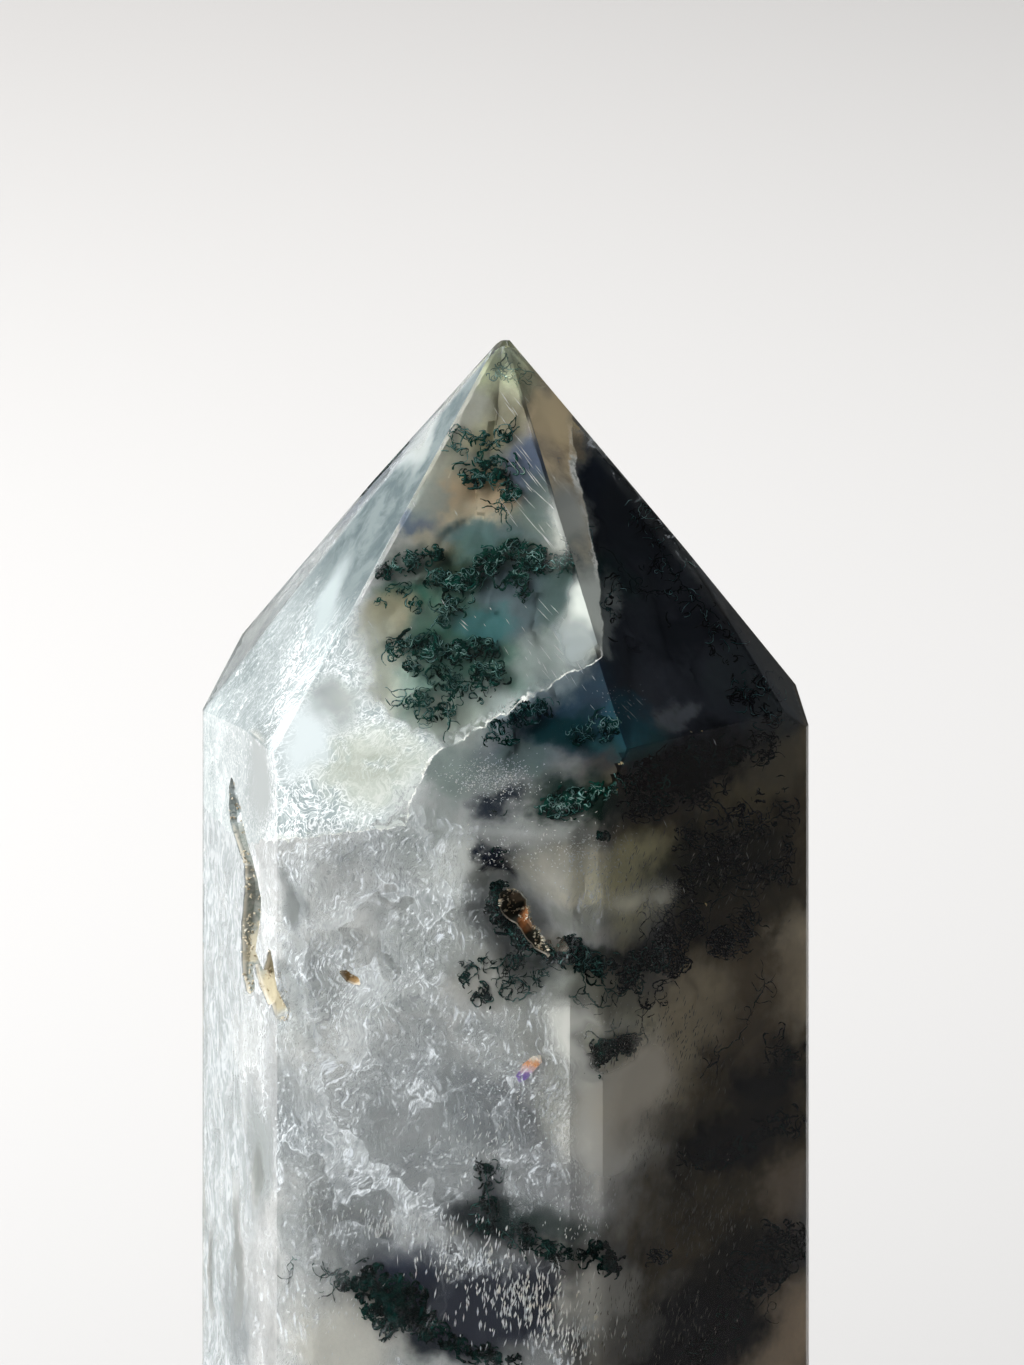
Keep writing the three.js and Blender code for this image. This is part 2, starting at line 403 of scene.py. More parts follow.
# Painted shade in the milky skin: greyer places, such as the shadow along the left ridge. Place in the picture and
# half sizes in mm.
painted_shade_places = None
for x, y, radii in [
    (288, 1070, (2.8, 9, 11.0)), (292, 890, (1.6, 6, 4.5)), (262, 1150, (2.6, 7, 5.4)), (240, 1335, (2.8, 9, 3.5)),
    (262, 785, (2.6, 7, 4.4)), (250, 640, (2.4, 6, 3.0)), (375, 865, (3.2, 5, 2.4)), (420, 1050, (3.8, 5, 3.2)), (500, 1112, (4.2, 5, 2.8)),
    (345, 1215, (3.8, 5, 3.6)), (400, 1130, (3.0, 5, 1.8)),
]:
    there = patch(swirled, seen_at(x, y)[0], radii, 0.5)
    painted_shade_places = there if painted_shade_places is None else painted_shade_places.math("MAXIMUM", there)
flecks = flecks * (1 - painted_shade_places * 0.6)
marked = grey_part * between(front, 0.3, 1.0)
sparkle = step(hatch, 0.53, 0.63) * step(wisps, 0.38, 0.58) * marked
# Darker hatched streaks in the marked grey stone.
dark_hatching = step(hatch, 0.47, 0.38) * marked

# Milky parts of the skin: their colour, and their share against the clear quartz. The dark brown on the right is
# partly painted shade.
colour = blend(pale, (0.060, 0.048, 0.032, 1), (0.45, 0.48, 0.475, 1))
left_grey = step(x_mm + (patchy - 0.5) * 8, 0.0, -6.0)
colour = blend(left_grey, colour, (0.58, 0.61, 0.61, 1))
milk = between(pale, 0.02, 0.14) + (wisps - 0.5) * pale * 0.35 + (plate_tone * 0.26 + left_grey * 0.08 + (hatch - 0.5) * 0.7) * broken
white = blend(step(upright, 0.38, 0.64), (0.22, 0.255, 0.26, 1), (0.48, 0.51, 0.52, 1))
smudges = step(grain(swirled, 2.0, 4.0, 0.55, (0.7, 0.7, 3.0)), 0.50, 0.64) * step(z_mm, 60.0, 50.0)
white = blend(smudges * 0.75, white, (0.17, 0.20, 0.20, 1))
# Painted shade over the left shoulder, on the snow and the frost.
shaded_shoulder = patch(swirled, seen_at(256, 715)[0], (4.8, 9, 10.0), 0.5)
white = blend(shaded_shoulder * 0.85, white, blend(step(upright, 0.40, 0.62), (0.13, 0.155, 0.155, 1), (0.33, 0.36, 0.36, 1)))
colour = blend(snow, colour, white)
# Painted shade: greyer, darker colour in the shaded places.
colour = blend(painted_shade_places * 0.75, colour, blend(snow, (0.22, 0.25, 0.262, 1), (0.07, 0.09, 0.095, 1)))
milk = between(snow, milk, 0.72 + (wisps - 0.5) * 0.9)
milk = milk * (1 - on_point * 0.7) * (1 - painted_shade_places * (1 - snow) * 0.45) * between(front, 0.55, 1.0)
frost = blend(step(fibres * 0.5 + wisps * 0.5, 0.36, 0.62), (0.20, 0.245, 0.245, 1), (0.46, 0.50, 0.495, 1))
drift = step(z_mm + (wisps - 0.5) * 6, 84.0, 77.5) * step(x_mm, -14.5, -12.0)
frost = blend(drift, frost, blend(step(fibres * 0.5 + wisps * 0.5, 0.43, 0.58), (0.30, 0.35, 0.35, 1), (0.57, 0.61, 0.605, 1)))
frost = blend(shaded_shoulder * 0.7, frost, (0.27, 0.30, 0.30, 1))
# Painted shade on the frost in the shaded places.
frost = blend(painted_shade_places * 0.7, frost, (0.16, 0.19, 0.19, 1))
for size, stretch in [(0.75, (0.7, 0.7, 2.4)), (0.50, (1.0, 1.0, 1.3))]:
    wave = grain(fanned, size, 2.0, 0.5, stretch)
    thread = step((wave - 0.5).math("ABSOLUTE"), 0.035, 0.006)
    frost = blend(thread * between(drift, 0.2, 0.8), frost, (0.93, 0.95, 0.95, 1))
frost = blend(step(fine + (wisps - 0.5) * 0.6, 0.60, 0.72) * 0.7, frost, (0.90, 0.92, 0.92, 1))
smooth = blend(step(wisps, 0.35, 0.62), (0.10, 0.13, 0.135, 1), (0.185, 0.22, 0.22, 1))
frost = blend(beside * step(z_mm + (wisps - 0.5) * 10, 78.5, 84.5), frost, smooth)
colour = blend(frosted, colour, frost)
milk = between(frosted, milk, 0.92 - clear_cream * 0.35)
colour = blend(clear_cream * frosted * 0.8, colour, (0.58, 0.61, 0.50, 1))
strip_tone = blend(step(z_mm + (wisps - 0.5) * 6, 85.5, 89.0), (0.56, 0.58, 0.52, 1), (0.84, 0.67, 0.42, 1))
colour = blend(right_strip, colour, strip_tone)
milk = between(right_strip, milk, 0.5 + (wisps - 0.5) * 0.9)
colour = blend(crinkled, colour, (0.50, 0.53, 0.50, 1))
milk = between(crinkled * 0.8, milk, 0.85)
colour = blend(rim_line, colour, blend(step(fine, 0.38, 0.55), (0.46, 0.47, 0.42, 1), (0.84, 0.84, 0.78, 1)))
milk = between(rim_line, milk, 0.9)
colour = blend(scallop, colour, (0.84, 0.87, 0.89, 1))
milk = between(scallop * 0.8, milk, 0.9)
colour = blend(flecks, colour, (0.74, 0.78, 0.82, 1))
milk = between(flecks * 0.55, milk, 0.9)
colour = blend(dark_hatching * 0.7, colour, (0.17, 0.19, 0.205, 1))
milk = between(dark_hatching * 0.5, milk, 0.75)
colour = blend(sparkle * 0.85, colour, (0.80, 0.83, 0.86, 1))
milk = between(sparkle * 0.6, milk, 0.85)
# Tone patches in the skin: place in the picture, half sizes in mm, colour and milky share. The bright ones on the
# narrow strip between the front and right faces, x 580 to 606 low down, and the pale one beside the border at (592,
# 605) are painted light where these faces get little; the dark ones along the left edge at (262, 780) and (260, 1150)
# are painted shade.
for x, y, radii, tone, share in [
    (556, 412, (1.5, 3, 3.2), (0.85, 0.68, 0.42), 0.6),
    (602, 1085, (2.4, 5, 4.4), (0.62, 0.60, 0.54), 0.5),
    (582, 1040, (2.0, 5, 2.6), (0.74, 0.74, 0.68), 0.6),
    (606, 1150, (2.2, 5, 3.6), (0.70, 0.69, 0.64), 0.45),
    (600, 1200, (2.4, 5, 2.4), (0.64, 0.64, 0.62), 0.35),
    (642, 1082, (2.0, 4, 3.6), (0.68, 0.62, 0.52), 0.5),
    (562, 520, (1.5, 3, 2.4), (0.80, 0.82, 0.76), 0.4),
    (520, 374, (1.8, 3, 1.2), (0.70, 0.76, 0.52), 0.3),
    (330, 598, (1.5, 4, 3.0), (0.40, 0.45, 0.45), 0.85),
    (592, 605, (1.4, 3, 3.2), (0.84, 0.88, 0.80), 0.65),
    (572, 645, (1.2, 3, 1.5), (0.33, 0.37, 0.37), 0.6),
    (330, 700, (1.8, 4, 1.8), (0.48, 0.52, 0.51), 0.5),
    (420, 440, (1.2, 3, 1.8), (0.62, 0.66, 0.64), 0.4),
    (262, 780, (1.8, 5, 2.8), (0.24, 0.265, 0.26), 0.8),
    (260, 1150, (1.6, 5, 3.2), (0.19, 0.215, 0.21), 0.75),
    (640, 880, (2.2, 5, 2.6), (0.78, 0.75, 0.60), 0.6),
    (468, 872, (1.8, 4, 1.8), (0.76, 0.80, 0.79), 0.85),
    (300, 745, (1.6, 4, 2.6), (0.64, 0.69, 0.69), 0.85),
]:
    there = patch(swirled, seen_at(x, y)[0], radii, 0.6) * step(left_of, -0.05, 0.05).math("MAXIMUM", step(z_mm, 66.0, 64.0))
    colour = blend(there, colour, (*tone, 1))
    milk = between(there, milk, share)
# Right of the border, painted shade and dark reflection: a near-black skin and a navy tint on the clear quartz.
colour = blend(shade_and_reflection_past_border, colour, (0.010, 0.013, 0.024, 1))
milk = between(shade_and_reflection_past_border, milk, 0.20 + (wisps - 0.5) * 0.5)
tint = blend(pale, (0.93, 0.87, 0.75, 1), (0.95, 0.96, 0.97, 1))
tint = blend(shade_and_reflection_past_border, tint, (0.48, 0.54, 0.68, 1))

# Inside the hollows the stone is bare, dull and brown, tan or grey-green.
below = None
for x, y in [(230, 900), (289, 900), (400, 900)]:
    spot, normal = seen_at(x, y)
    level = normal.dot(spot) / MM - place.node("ShaderNodeVectorMath", {"operation": "DOT_PRODUCT"}, {0: place, 1: normal}, 1)
    below = level if below is None else below.math("MINIMUM", level)
around = None
for x, y, radii in [(255, 895, (7, 7, 11)), (526, 924, (3.2, 4.5, 4.5)), (350, 978, (2, 3, 2))]:
    there = patch(place, seen_at(x, y)[0], radii, 0.1)
    around = there if around is None else around.math("MAXIMUM", there)
hollow = step(below, 0.05, 0.12) * around
lining = blend(step(fine, 0.35, 0.65), (0.20, 0.23, 0.21, 1), (0.42, 0.43, 0.39, 1))
lining = blend(step(wisps, 0.56, 0.64), lining, (0.58, 0.53, 0.40, 1))
for x, y, radii, tone in [
    (268, 988, (2.0, 3, 2.4), (0.50, 0.44, 0.30)),
    (524, 922, (4, 4, 4), (0.016, 0.022, 0.018)),
    (517, 902, (0.9, 3, 0.5), (0.20, 0.16, 0.11)),
    (523, 910, (0.3, 3, 0.7), (0.24, 0.19, 0.12)),
    (525, 925, (0.8, 3, 0.9), (0.42, 0.17, 0.06)),
    (531, 932, (0.5, 3, 0.5), (0.40, 0.22, 0.12)),
    (538, 938, (0.6, 3, 0.9), (0.03, 0.035, 0.025)),
    (350, 978, (2, 3, 2), (0.45, 0.30, 0.14)),
]:
    lining = blend(patch(swirled, seen_at(x, y)[0], radii, 0.25), lining, (*tone, 1))
vug_middle = seen_at(524, 920)[0] / MM
upper_side = step((x_mm - vug_middle.x) * 0.75 + (z_mm - vug_middle.z) * 0.66, -0.1, 0.35)
lower_end = step((x_mm - vug_middle.x) * 0.7 - (z_mm - vug_middle.z) * 0.7, 0.0, 0.5)
lip = step(below, 0.42, 0.15) * step(wisps + fine, 0.75, 0.95).math("MAXIMUM", upper_side.math("MAXIMUM", lower_end) * step(x_mm, 0.0, 2.0))
lining = blend(lip * 0.9, lining, (0.90, 0.84, 0.72, 1))
colour = blend(hollow, colour, blend(fine * 0.5, lining, (0.05, 0.04, 0.03, 1)))
milk = between(hollow, milk, 1.0)
flake = patch(swirled, seen_at(549, 941)[0], (0.42, 3, 0.85), 0.2).math("MAXIMUM", patch(swirled, seen_at(555, 945)[0], (0.5, 3, 0.45), 0.2))
colour = blend(flake * (1 - hollow), colour, blend(step(fine, 0.35, 0.65), (0.45, 0.36, 0.26, 1), (0.88, 0.80, 0.68, 1)))
milk = between(flake, milk, 0.95)

# Clear places in the skin, over moss and deep blue: place in the picture and half sizes in mm.
window = None
for x, y, radii in [
    (502, 850, (1.8, 3, 4.2)), (500, 978, (4.0, 4, 2.4)), (620, 970, (6.0, 4, 3.4)), (608, 1048, (1.9, 3, 1.4)),
    (488, 1190, (1.4, 3, 3.0)), (484, 1218, (2.6, 4, 2.4)), (545, 1238, (4.6, 4, 1.8)), (612, 1258, (2.2, 4, 1.2)), (385, 1292, (4.6, 4, 3.2)),
    (465, 1342, (5.5, 4, 2.0)), (350, 1345, (3.6, 4, 2.4)), (578, 800, (5.0, 5, 2.6)), (495, 770, (6.5, 5, 3.2)),
    (528, 925, (3.2, 5, 3.8)), (545, 860, (3.4, 4, 2.6)), (495, 1310, (5.0, 4, 2.4)),
    (256, 1168, (0.9, 3, 2.2)), (210, 1268, (0.6, 3, 3.6)), (238, 1255, (0.9, 3, 5.0)),
    (272, 1345, (0.7, 3, 2.2)), (287, 1268, (0.4, 2, 1.2)), (289, 900, (0.6, 2, 1.3)),
]:
    there = patch(swirled, seen_at(x, y)[0], radii, 0.4)
    window = there if window is None else window.math("MAXIMUM", there)
hidden_window = None
for at, x, y, wide, high, tone in hidden_bands:
    there = patch(swirled, at(x, y, 0)[0], (wide / 13.5, wide / 13.5, high / 13.5), 0.5)
    hidden_window = there if hidden_window is None else hidden_window.math("MAXIMUM", there)
window = window.math("MAXIMUM", hidden_window * step(y_mm, -0.5, 1.5))
milk = between(window * (1 - hollow) * (1 - on_point) * 0.85, milk, 0.02)

milky = place.node("ShaderNodeBsdfPrincipled", inputs={
    "Base Color": colour, "Roughness": between(hollow, 0.12, 0.75), "IOR": ior,
    "Specular IOR Level": 0.3, "Specular Tint": (0.5, 0.52, 0.52, 1)})
clear = place.node("ShaderNodeBsdfPrincipled", inputs={
    "Base Color": tint, "Roughness": 0.03, "IOR": ior, "Transmission Weight": 1.0, "Specular Tint": (0.07, 0.07, 0.08, 1)})
# Light on its way out of the stone meets the polish from inside, where it is clear everywhere.
leaving = place.node("ShaderNodeBsdfGlass", inputs={"Color": (0.94, 0.92, 0.87, 1), "Roughness": 0.0, "IOR": ior})
surface = place.node("ShaderNodeMixShader", inputs={0: step(milk, 0.0, 1.0), 1: clear, 2: milky})
surface = place.node("ShaderNodeMixShader", inputs={0: place.node("ShaderNodeNewGeometry", output=6), 1: surface, 2: leaving})
dimming = place.node("ShaderNodeVolumeAbsorption", inputs={"Color": (0.70, 0.76, 0.78, 1), "Density": 60.0})
end = agate.node_tree.nodes.new("ShaderNodeOutputMaterial")
agate.node_tree.links.new(surface.socket, end.inputs["Surface"])
agate.node_tree.links.new(dimming.socket, end.inputs["Volume"])

stone.data.materials.clear()
stone.data.materials.append(agate)
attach(stone, "root")
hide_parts("tower")

# Cloudy stone
# The milky chalcedony behind the clear skin, seen through the polish. It grew as one body
# with the stone: swollen clouds and broken plates, white, tan, blue-grey and nearly black. Its dark right is partly
# painted shade, and some clouds are painted light and shade.
columns, rows = 300, 300
cloud_foot, cloud_top = 0.5 * MM, 99.3 * MM
bpy.ops.object.select_all(action="DESELECT")
bpy.ops.mesh.primitive_grid_add(x_subdivisions=columns, y_subdivisions=rows, size=2)
cloudy = bpy.context.object
cloudy.name = "cloudy_stone"
for vertex in cloudy.data.vertices:
    turn = math.pi * vertex.co.x
    rise = cloud_foot + (cloud_top - cloud_foot) * (vertex.co.y + 1) / 2
    out = Vector((math.sin(turn), -math.cos(turn), 0))
    reach, slope = min(
        ((distance - normal.z * rise) / normal.dot(out), normal.dot(out))
        for normal, distance in flats if normal.dot(out) > 0.05)
    hull = out * reach + Vector((0, 0, rise))
    inner = max(0.0, reach - cloud_depth(hull) * MM / slope)
    closed = abs(vertex.co.y) > 1 - 1e-4
    vertex.co = out * (0 if closed else inner) + Vector((0, 0, rise))
bpy.ops.object.mode_set(mode="EDIT")
bpy.ops.mesh.select_all(action="SELECT")
bpy.ops.mesh.remove_doubles(threshold=0.001 * MM)
bpy.ops.mesh.normals_make_consistent(inside=False)
bpy.ops.object.mode_set(mode="OBJECT")
bpy.ops.object.shade_smooth_by_angle(angle=math.radians(50))

clouds = bpy.data.materials.new("cloudy_chalcedony")
place, swirled, x_mm, y_mm, z_mm = stone_places(clouds)
billow = grain(swirled, 3.4, 6.0, 0.6)
curls = vector("SUBTRACT", grain(place, 1.4, 4.0, 0.6, output="Color"), (0.5, 0.5, 0.5))
swirled = vector("ADD", swirled, vector("MULTIPLY", curls, (2.2, 2.2, 1.6)))
sugar = grain(place, 0.45, 5.0, 0.7)
# Pale on the left, dark brown on the right: the dark is partly painted shade.
side = light_side(place, x_mm, y_mm)
pale = step(side, 15.5, 9.0)
colour = blend(pale, (0.22, 0.175, 0.115, 1), (0.90, 0.91, 0.92, 1))
colour = blend(step(billow, 0.30, 0.72) * 0.75, colour, vector("MULTIPLY", colour, (0.31, 0.34, 0.35)))

# Coloured clouds: place in the picture, half sizes in mm, colour and strength. The near-black navy clouds behind the
# facet right of the border, about x 610 to 700 and y 470 to 700, are painted shade; the white clouds on the strip
# between the front and right faces, about x 600 to 620 and y 1040 to 1150, the pale one beside the border at (594,
# 612) and the brightest tan at the top (562, 403) are painted light where these faces get little.
for x, y, radii, tone, strength in [
    (500, 520, (6.5, 9, 10), (0.56, 0.56, 0.44), 0.9),
    (640, 640, (6.5, 12, 9.0), (0.040, 0.046, 0.052), 1.0),
    (570, 695, (5.0, 6, 3.2), (0.05, 0.13, 0.19), 1.0),
    (700, 700, (9.0, 9, 6.0), (0.095, 0.10, 0.115), 1.0),
    (650, 580, (2.2, 6, 2.0), (0.09, 0.10, 0.11), 0.8),
    (740, 670, (2.0, 6, 2.4), (0.10, 0.12, 0.12), 0.7),
    (690, 630, (2.4, 6, 1.4), (0.02, 0.024, 0.03), 0.8),
    (515, 372, (3.0, 4, 1.6), (0.95, 1.0, 0.72), 0.95),
    (560, 430, (1.8, 3, 3.4), (0.86, 0.63, 0.36), 0.95),
    (500, 430, (2.0, 3, 1.2), (0.80, 0.76, 0.52), 0.8),
    (562, 403, (1.7, 3, 1.8), (1.0, 0.86, 0.55), 0.95),
    (608, 478, (2.0, 6, 4.5), (0.02, 0.03, 0.045), 1.0),
    (640, 515, (3.4, 8, 4.0), (0.03, 0.036, 0.042), 1.0),
    (544, 400, (2.2, 3, 2.0), (0.84, 0.66, 0.42), 0.8),
    (515, 405, (2.0, 3, 1.8), (0.42, 0.40, 0.30), 0.85),
    (476, 496, (2.8, 3, 1.5), (0.82, 0.62, 0.40), 0.85),
    (455, 533, (3.0, 3, 1.7), (0.92, 0.80, 0.60), 0.85),
    (535, 462, (2.6, 3, 2.8), (0.14, 0.2, 0.34), 0.9),
    (415, 523, (2.2, 3, 1.0), (0.17, 0.24, 0.36), 0.9),
    (490, 540, (4.0, 3, 0.8), (0.22, 0.29, 0.34), 0.85),
    (455, 560, (1.6, 3, 0.8), (0.51, 0.41, 0.2), 0.8),
    (500, 572, (9.0, 4, 1.8), (0.020, 0.085, 0.070), 0.9),
    (400, 598, (2.0, 3, 1.0), (0.05, 0.2, 0.15), 0.9),
    (520, 605, (4.6, 4, 2.4), (0.20, 0.28, 0.33), 0.9),
    (570, 640, (2.4, 4, 2.2), (0.28, 0.31, 0.31), 0.85),
    (385, 622, (1.8, 4, 1.6), (0.65, 0.61, 0.42), 0.9),
    (448, 652, (5.0, 4, 1.8), (0.020, 0.095, 0.080), 0.9),
    (440, 612, (2.4, 4, 2.0), (0.10, 0.27, 0.20), 0.8),
    (450, 690, (3.6, 4, 2.6), (0.22, 0.44, 0.36), 0.8),
    (405, 690, (1.8, 4, 2.2), (0.66, 0.84, 0.76), 0.8),
    (505, 700, (2.6, 3, 1.4), (0.88, 1.0, 0.98), 0.9),
    (455, 724, (3.0, 4, 1.5), (0.66, 0.74, 0.66), 0.8),
    (500, 668, (2.6, 4, 1.8), (0.20, 0.40, 0.33), 0.8),
    (376, 680, (2.4, 4, 3.4), (0.98, 1.0, 0.88), 0.9),
    (500, 775, (5.5, 5, 2.0), (0.42, 0.45, 0.46), 0.85),
    (538, 842, (3.4, 5, 1.8), (0.14, 0.15, 0.14), 0.8),
    (480, 1215, (4.0, 5, 2.2), (0.02, 0.03, 0.03), 1.0),
    (540, 1190, (2.6, 5, 2.6), (0.20, 0.21, 0.22), 0.7),
    (288, 1110, (2.4, 5, 5.0), (0.36, 0.39, 0.41), 0.8),
    (450, 850, (4.5, 5, 2.4), (0.36, 0.40, 0.39), 0.7),
    (470, 872, (3.0, 4, 2.6), (0.90, 0.93, 0.92), 0.9),
    (578, 800, (3.8, 4, 1.6), (0.012, 0.04, 0.034), 0.95),
    (502, 812, (1.3, 3, 1.2), (0.01, 0.02, 0.04), 1.0),
    (504, 860, (1.1, 3, 1.9), (0.01, 0.016, 0.035), 1.0),
    (560, 875, (3.0, 4, 2.4), (0.72, 0.70, 0.62), 0.8),
    (592, 885, (1.8, 4, 2.0), (0.92, 0.88, 0.74), 0.8),
    (570, 960, (3.4, 4, 1.3), (0.012, 0.04, 0.032), 0.85),
    (495, 975, (3.4, 3, 2.2), (0.6, 0.6, 0.56), 0.8),
    (620, 965, (4.0, 4, 1.6), (0.015, 0.034, 0.028), 0.8),
    (695, 765, (8.4, 5, 2.4), (0.001, 0.002, 0.001), 1.0),
    (725, 860, (4.0, 6, 3.6), (0.035, 0.036, 0.022), 0.9),
    (780, 760, (2.4, 6, 2.4), (0.40, 0.36, 0.27), 0.6),
    (745, 800, (2.2, 5, 1.6), (0.42, 0.36, 0.22), 0.7),
    (605, 1090, (3.4, 5, 6.0), (1.0, 0.99, 0.92), 0.9),
    (604, 1146, (2.6, 5, 2.6), (1.0, 0.99, 0.95), 0.85),
    (488, 1180, (1.2, 3, 1.4), (0.02, 0.034, 0.06), 0.8),
    (545, 1225, (3.6, 4, 1.8), (0.02, 0.045, 0.042), 0.85),
    (612, 1262, (1.3, 4, 0.9), (0.001, 0.002, 0.002), 1.0),
    (400, 1296, (3.9, 4, 2.9), (0.001, 0.004, 0.005), 1.0),
    (400, 1262, (4.0, 4, 2.0), (0.04, 0.055, 0.1), 0.8),
    (455, 1335, (3.9, 4, 1.7), (0.008, 0.018, 0.024), 0.95),
    (500, 1305, (6.4, 5, 4.0), (0.055, 0.062, 0.086), 1.0),
    (602, 1300, (2.4, 5, 3.2), (0.84, 0.85, 0.86), 0.9),
    (400, 1210, (5.0, 5, 1.4), (0.16, 0.17, 0.22), 0.3),
    (345, 1340, (4.0, 4, 3.0), (0.86, 0.85, 0.80), 0.85),
    (770, 1060, (2.4, 9, 4.4), (0.006, 0.006, 0.008), 0.95),
    (802, 965, (1.6, 9, 4.0), (1.0, 0.90, 0.74), 0.9),
    (755, 1290, (6.0, 9, 2.4), (0.001, 0.001, 0.001), 1.0),
    (668, 1330, (4.0, 9, 2.4), (0.016, 0.017, 0.024), 0.8),
    (640, 1078, (3.2, 6, 4.6), (1.0, 0.92, 0.76), 0.85),
    (664, 1126, (2.0, 5, 1.6), (0.16, 0.145, 0.12), 0.7),
    (775, 1340, (3.6, 8, 4.4), (0.95, 0.78, 0.62), 0.9),
    (725, 1150, (3.0, 9, 2.0), (0.001, 0.001, 0.001), 1.0),
    (718, 1332, (3.6, 8, 3.0), (0.001, 0.001, 0.001), 1.0),
    (262, 1150, (2.2, 5, 3.4), (0.16, 0.21, 0.19), 0.9),
    (212, 1265, (0.7, 3, 3.4), (0.14, 0.18, 0.17), 0.7),
    (236, 1250, (0.8, 3, 4.2), (0.18, 0.22, 0.2), 0.7),
    (565, 520, (1.9, 3, 2.4), (0.95, 0.97, 0.88), 0.85),
    (594, 612, (1.2, 4, 3.4), (0.86, 0.90, 0.82), 0.95),
    (540, 500, (1.7, 3, 1.8), (0.17, 0.235, 0.235), 0.85),
    (528, 530, (1.8, 3, 1.2), (0.20, 0.28, 0.27), 0.8),
    (545, 660, (2.6, 3, 2.0), (0.60, 0.68, 0.66), 0.8),
    (525, 822, (4.0, 3, 0.9), (0.60, 0.62, 0.62), 0.7),
    (672, 710, (1.3, 3, 0.8), (0.40, 0.41, 0.42), 0.8),
    (505, 350, (2.0, 3, 1.0), (0.45, 0.50, 0.36), 0.8),
    (640, 880, (3.0, 5, 3.2), (1.0, 0.95, 0.62), 0.9),
    (595, 1010, (2.6, 5, 3.2), (0.50, 0.50, 0.42), 0.8),
    (330, 980, (4.0, 5, 9.0), (1.0, 1.0, 0.99), 0.8),
    (500, 1110, (3.6, 5, 2.6), (0.13, 0.14, 0.155), 0.8),
    (545, 1170, (3.0, 5, 3.0), (0.34, 0.35, 0.37), 0.7),
    (745, 1000, (4.2, 6, 4.0), (0.36, 0.29, 0.21), 0.7),
    (690, 1345, (4.5, 8, 3.2), (0.010, 0.010, 0.014), 0.9),
    (740, 1262, (3.5, 8, 2.4), (0.012, 0.011, 0.009), 0.9),
    (758, 1130, (3.0, 8, 2.4), (0.02, 0.017, 0.014), 0.8),
    (348, 1222, (2.8, 5, 3.0), (0.32, 0.34, 0.35), 0.7),
    (302, 985, (1.6, 5, 4.5), (0.42, 0.45, 0.46), 0.7),
    (290, 900, (1.0, 4, 2.0), (0.36, 0.39, 0.40), 0.9),
    (620, 1040, (1.8, 5, 1.6), (0.98, 1.0, 0.86), 0.85),
    (410, 1120, (6.5, 6, 5.0), (0.46, 0.49, 0.52), 0.7),
    (345, 1160, (3.4, 6, 3.4), (0.50, 0.53, 0.55), 0.6),
    (685, 1012, (3.2, 5, 3.4), (0.95, 0.84, 0.66), 0.8),
    (562, 600, (2.0, 3, 2.4), (0.14, 0.22, 0.21), 0.8),
    (562, 726, (3.0, 4, 1.5), (0.004, 0.05, 0.05), 0.9),
    (782, 702, (2.0, 6, 2.0), (0.16, 0.18, 0.17), 0.8),
    (450, 775, (3.0, 4, 1.6), (0.32, 0.40, 0.38), 0.8),
    (432, 500, (1.4, 3, 1.4), (0.48, 0.54, 0.52), 0.75),
    (480, 622, (2.4, 4, 1.3), (0.10, 0.30, 0.32), 0.9),
    (525, 758, (2.4, 4, 1.4), (0.16, 0.24, 0.23), 0.8),
    (240, 1320, (2.4, 5, 4.0), (0.26, 0.29, 0.29), 0.8),
    (632, 738, (2.4, 4, 1.5), (0.05, 0.17, 0.17), 0.8),
    (622, 718, (2.0, 4, 1.3), (0.05, 0.18, 0.23), 0.8),
    (560, 1085, (1.6, 5, 2.8), (0.48, 0.49, 0.46), 0.7),
    (430, 1230, (2.4, 5, 1.2), (0.90, 0.92, 0.95), 0.5),
    (436, 1178, (4.0, 5, 2.0), (0.34, 0.36, 0.38), 0.75),
    (545, 1357, (2.6, 4, 1.4), (0.30, 0.31, 0.32), 0.8),
    (620, 1340, (1.8, 5, 1.8), (0.50, 0.50, 0.50), 0.6),
    (545, 1030, (2.6, 4, 2.6), (0.46, 0.47, 0.45), 0.6),
    (440, 935, (3.6, 4, 2.6), (0.46, 0.49, 0.48), 0.7),
    (682, 872, (2.2, 5, 2.0), (0.03, 0.035, 0.02), 0.85),
    (792, 1195, (2.0, 8, 2.4), (0.80, 0.66, 0.55), 0.5),
    (540, 1000, (3.0, 4, 1.6), (0.34, 0.36, 0.33), 0.7),
    (580, 922, (2.2, 4, 1.2), (0.30, 0.31, 0.27), 0.7),
    (478, 542, (2.2, 3, 1.1), (0.16, 0.30, 0.30), 0.8),
]:
    there = patch(swirled, inside_at(x, y, 1.0)[0], radii, 0.45) * strength
    colour = blend(there, colour, (*tone, 1))
behind = step(y_mm, -2.0, 1.0) * 0.7
for at, x, y, wide, high, tone in hidden_bands:
    there = patch(swirled, at(x, y, 1.0)[0], (wide / 11, wide / 11, high / 11), 0.45)
    colour = blend(there * behind, colour, (*tone, 1))
colour = blend(sugar * 0.4, colour, vector("MULTIPLY", colour, (0.41, 0.425, 0.43)))
mass = place.node("ShaderNodeBsdfPrincipled", inputs={
    "Base Color": colour, "Roughness": 0.9, "Specular IOR Level": 0.0})
end = clouds.node_tree.nodes.new("ShaderNodeOutputMaterial")
clouds.node_tree.links.new(mass.socket, end.inputs["Surface"])
cloudy.data.materials.clear()
cloudy.data.materials.append(clouds)
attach(cloudy, "root")

# Moss
# Dark green mineral threads that grew through the clear stone: curled, looped and tangled
# in clumps and bands, thin tubes with a paler heart on their outer side, partly the moss's own teal and partly a
# painted highlight. They lie below the polish.
moss_seed = random.Random(41)
moss_cover = 0.10 * MM
stride_px = 2.0


def moss_curve(name):
    shape = bpy.data.curves.new(name, "CURVE")
    shape.dimensions = "3D"
    shape.bevel_depth = 1.0
    shape.bevel_resolution = 0
    shape.use_fill_caps = True
    return shape


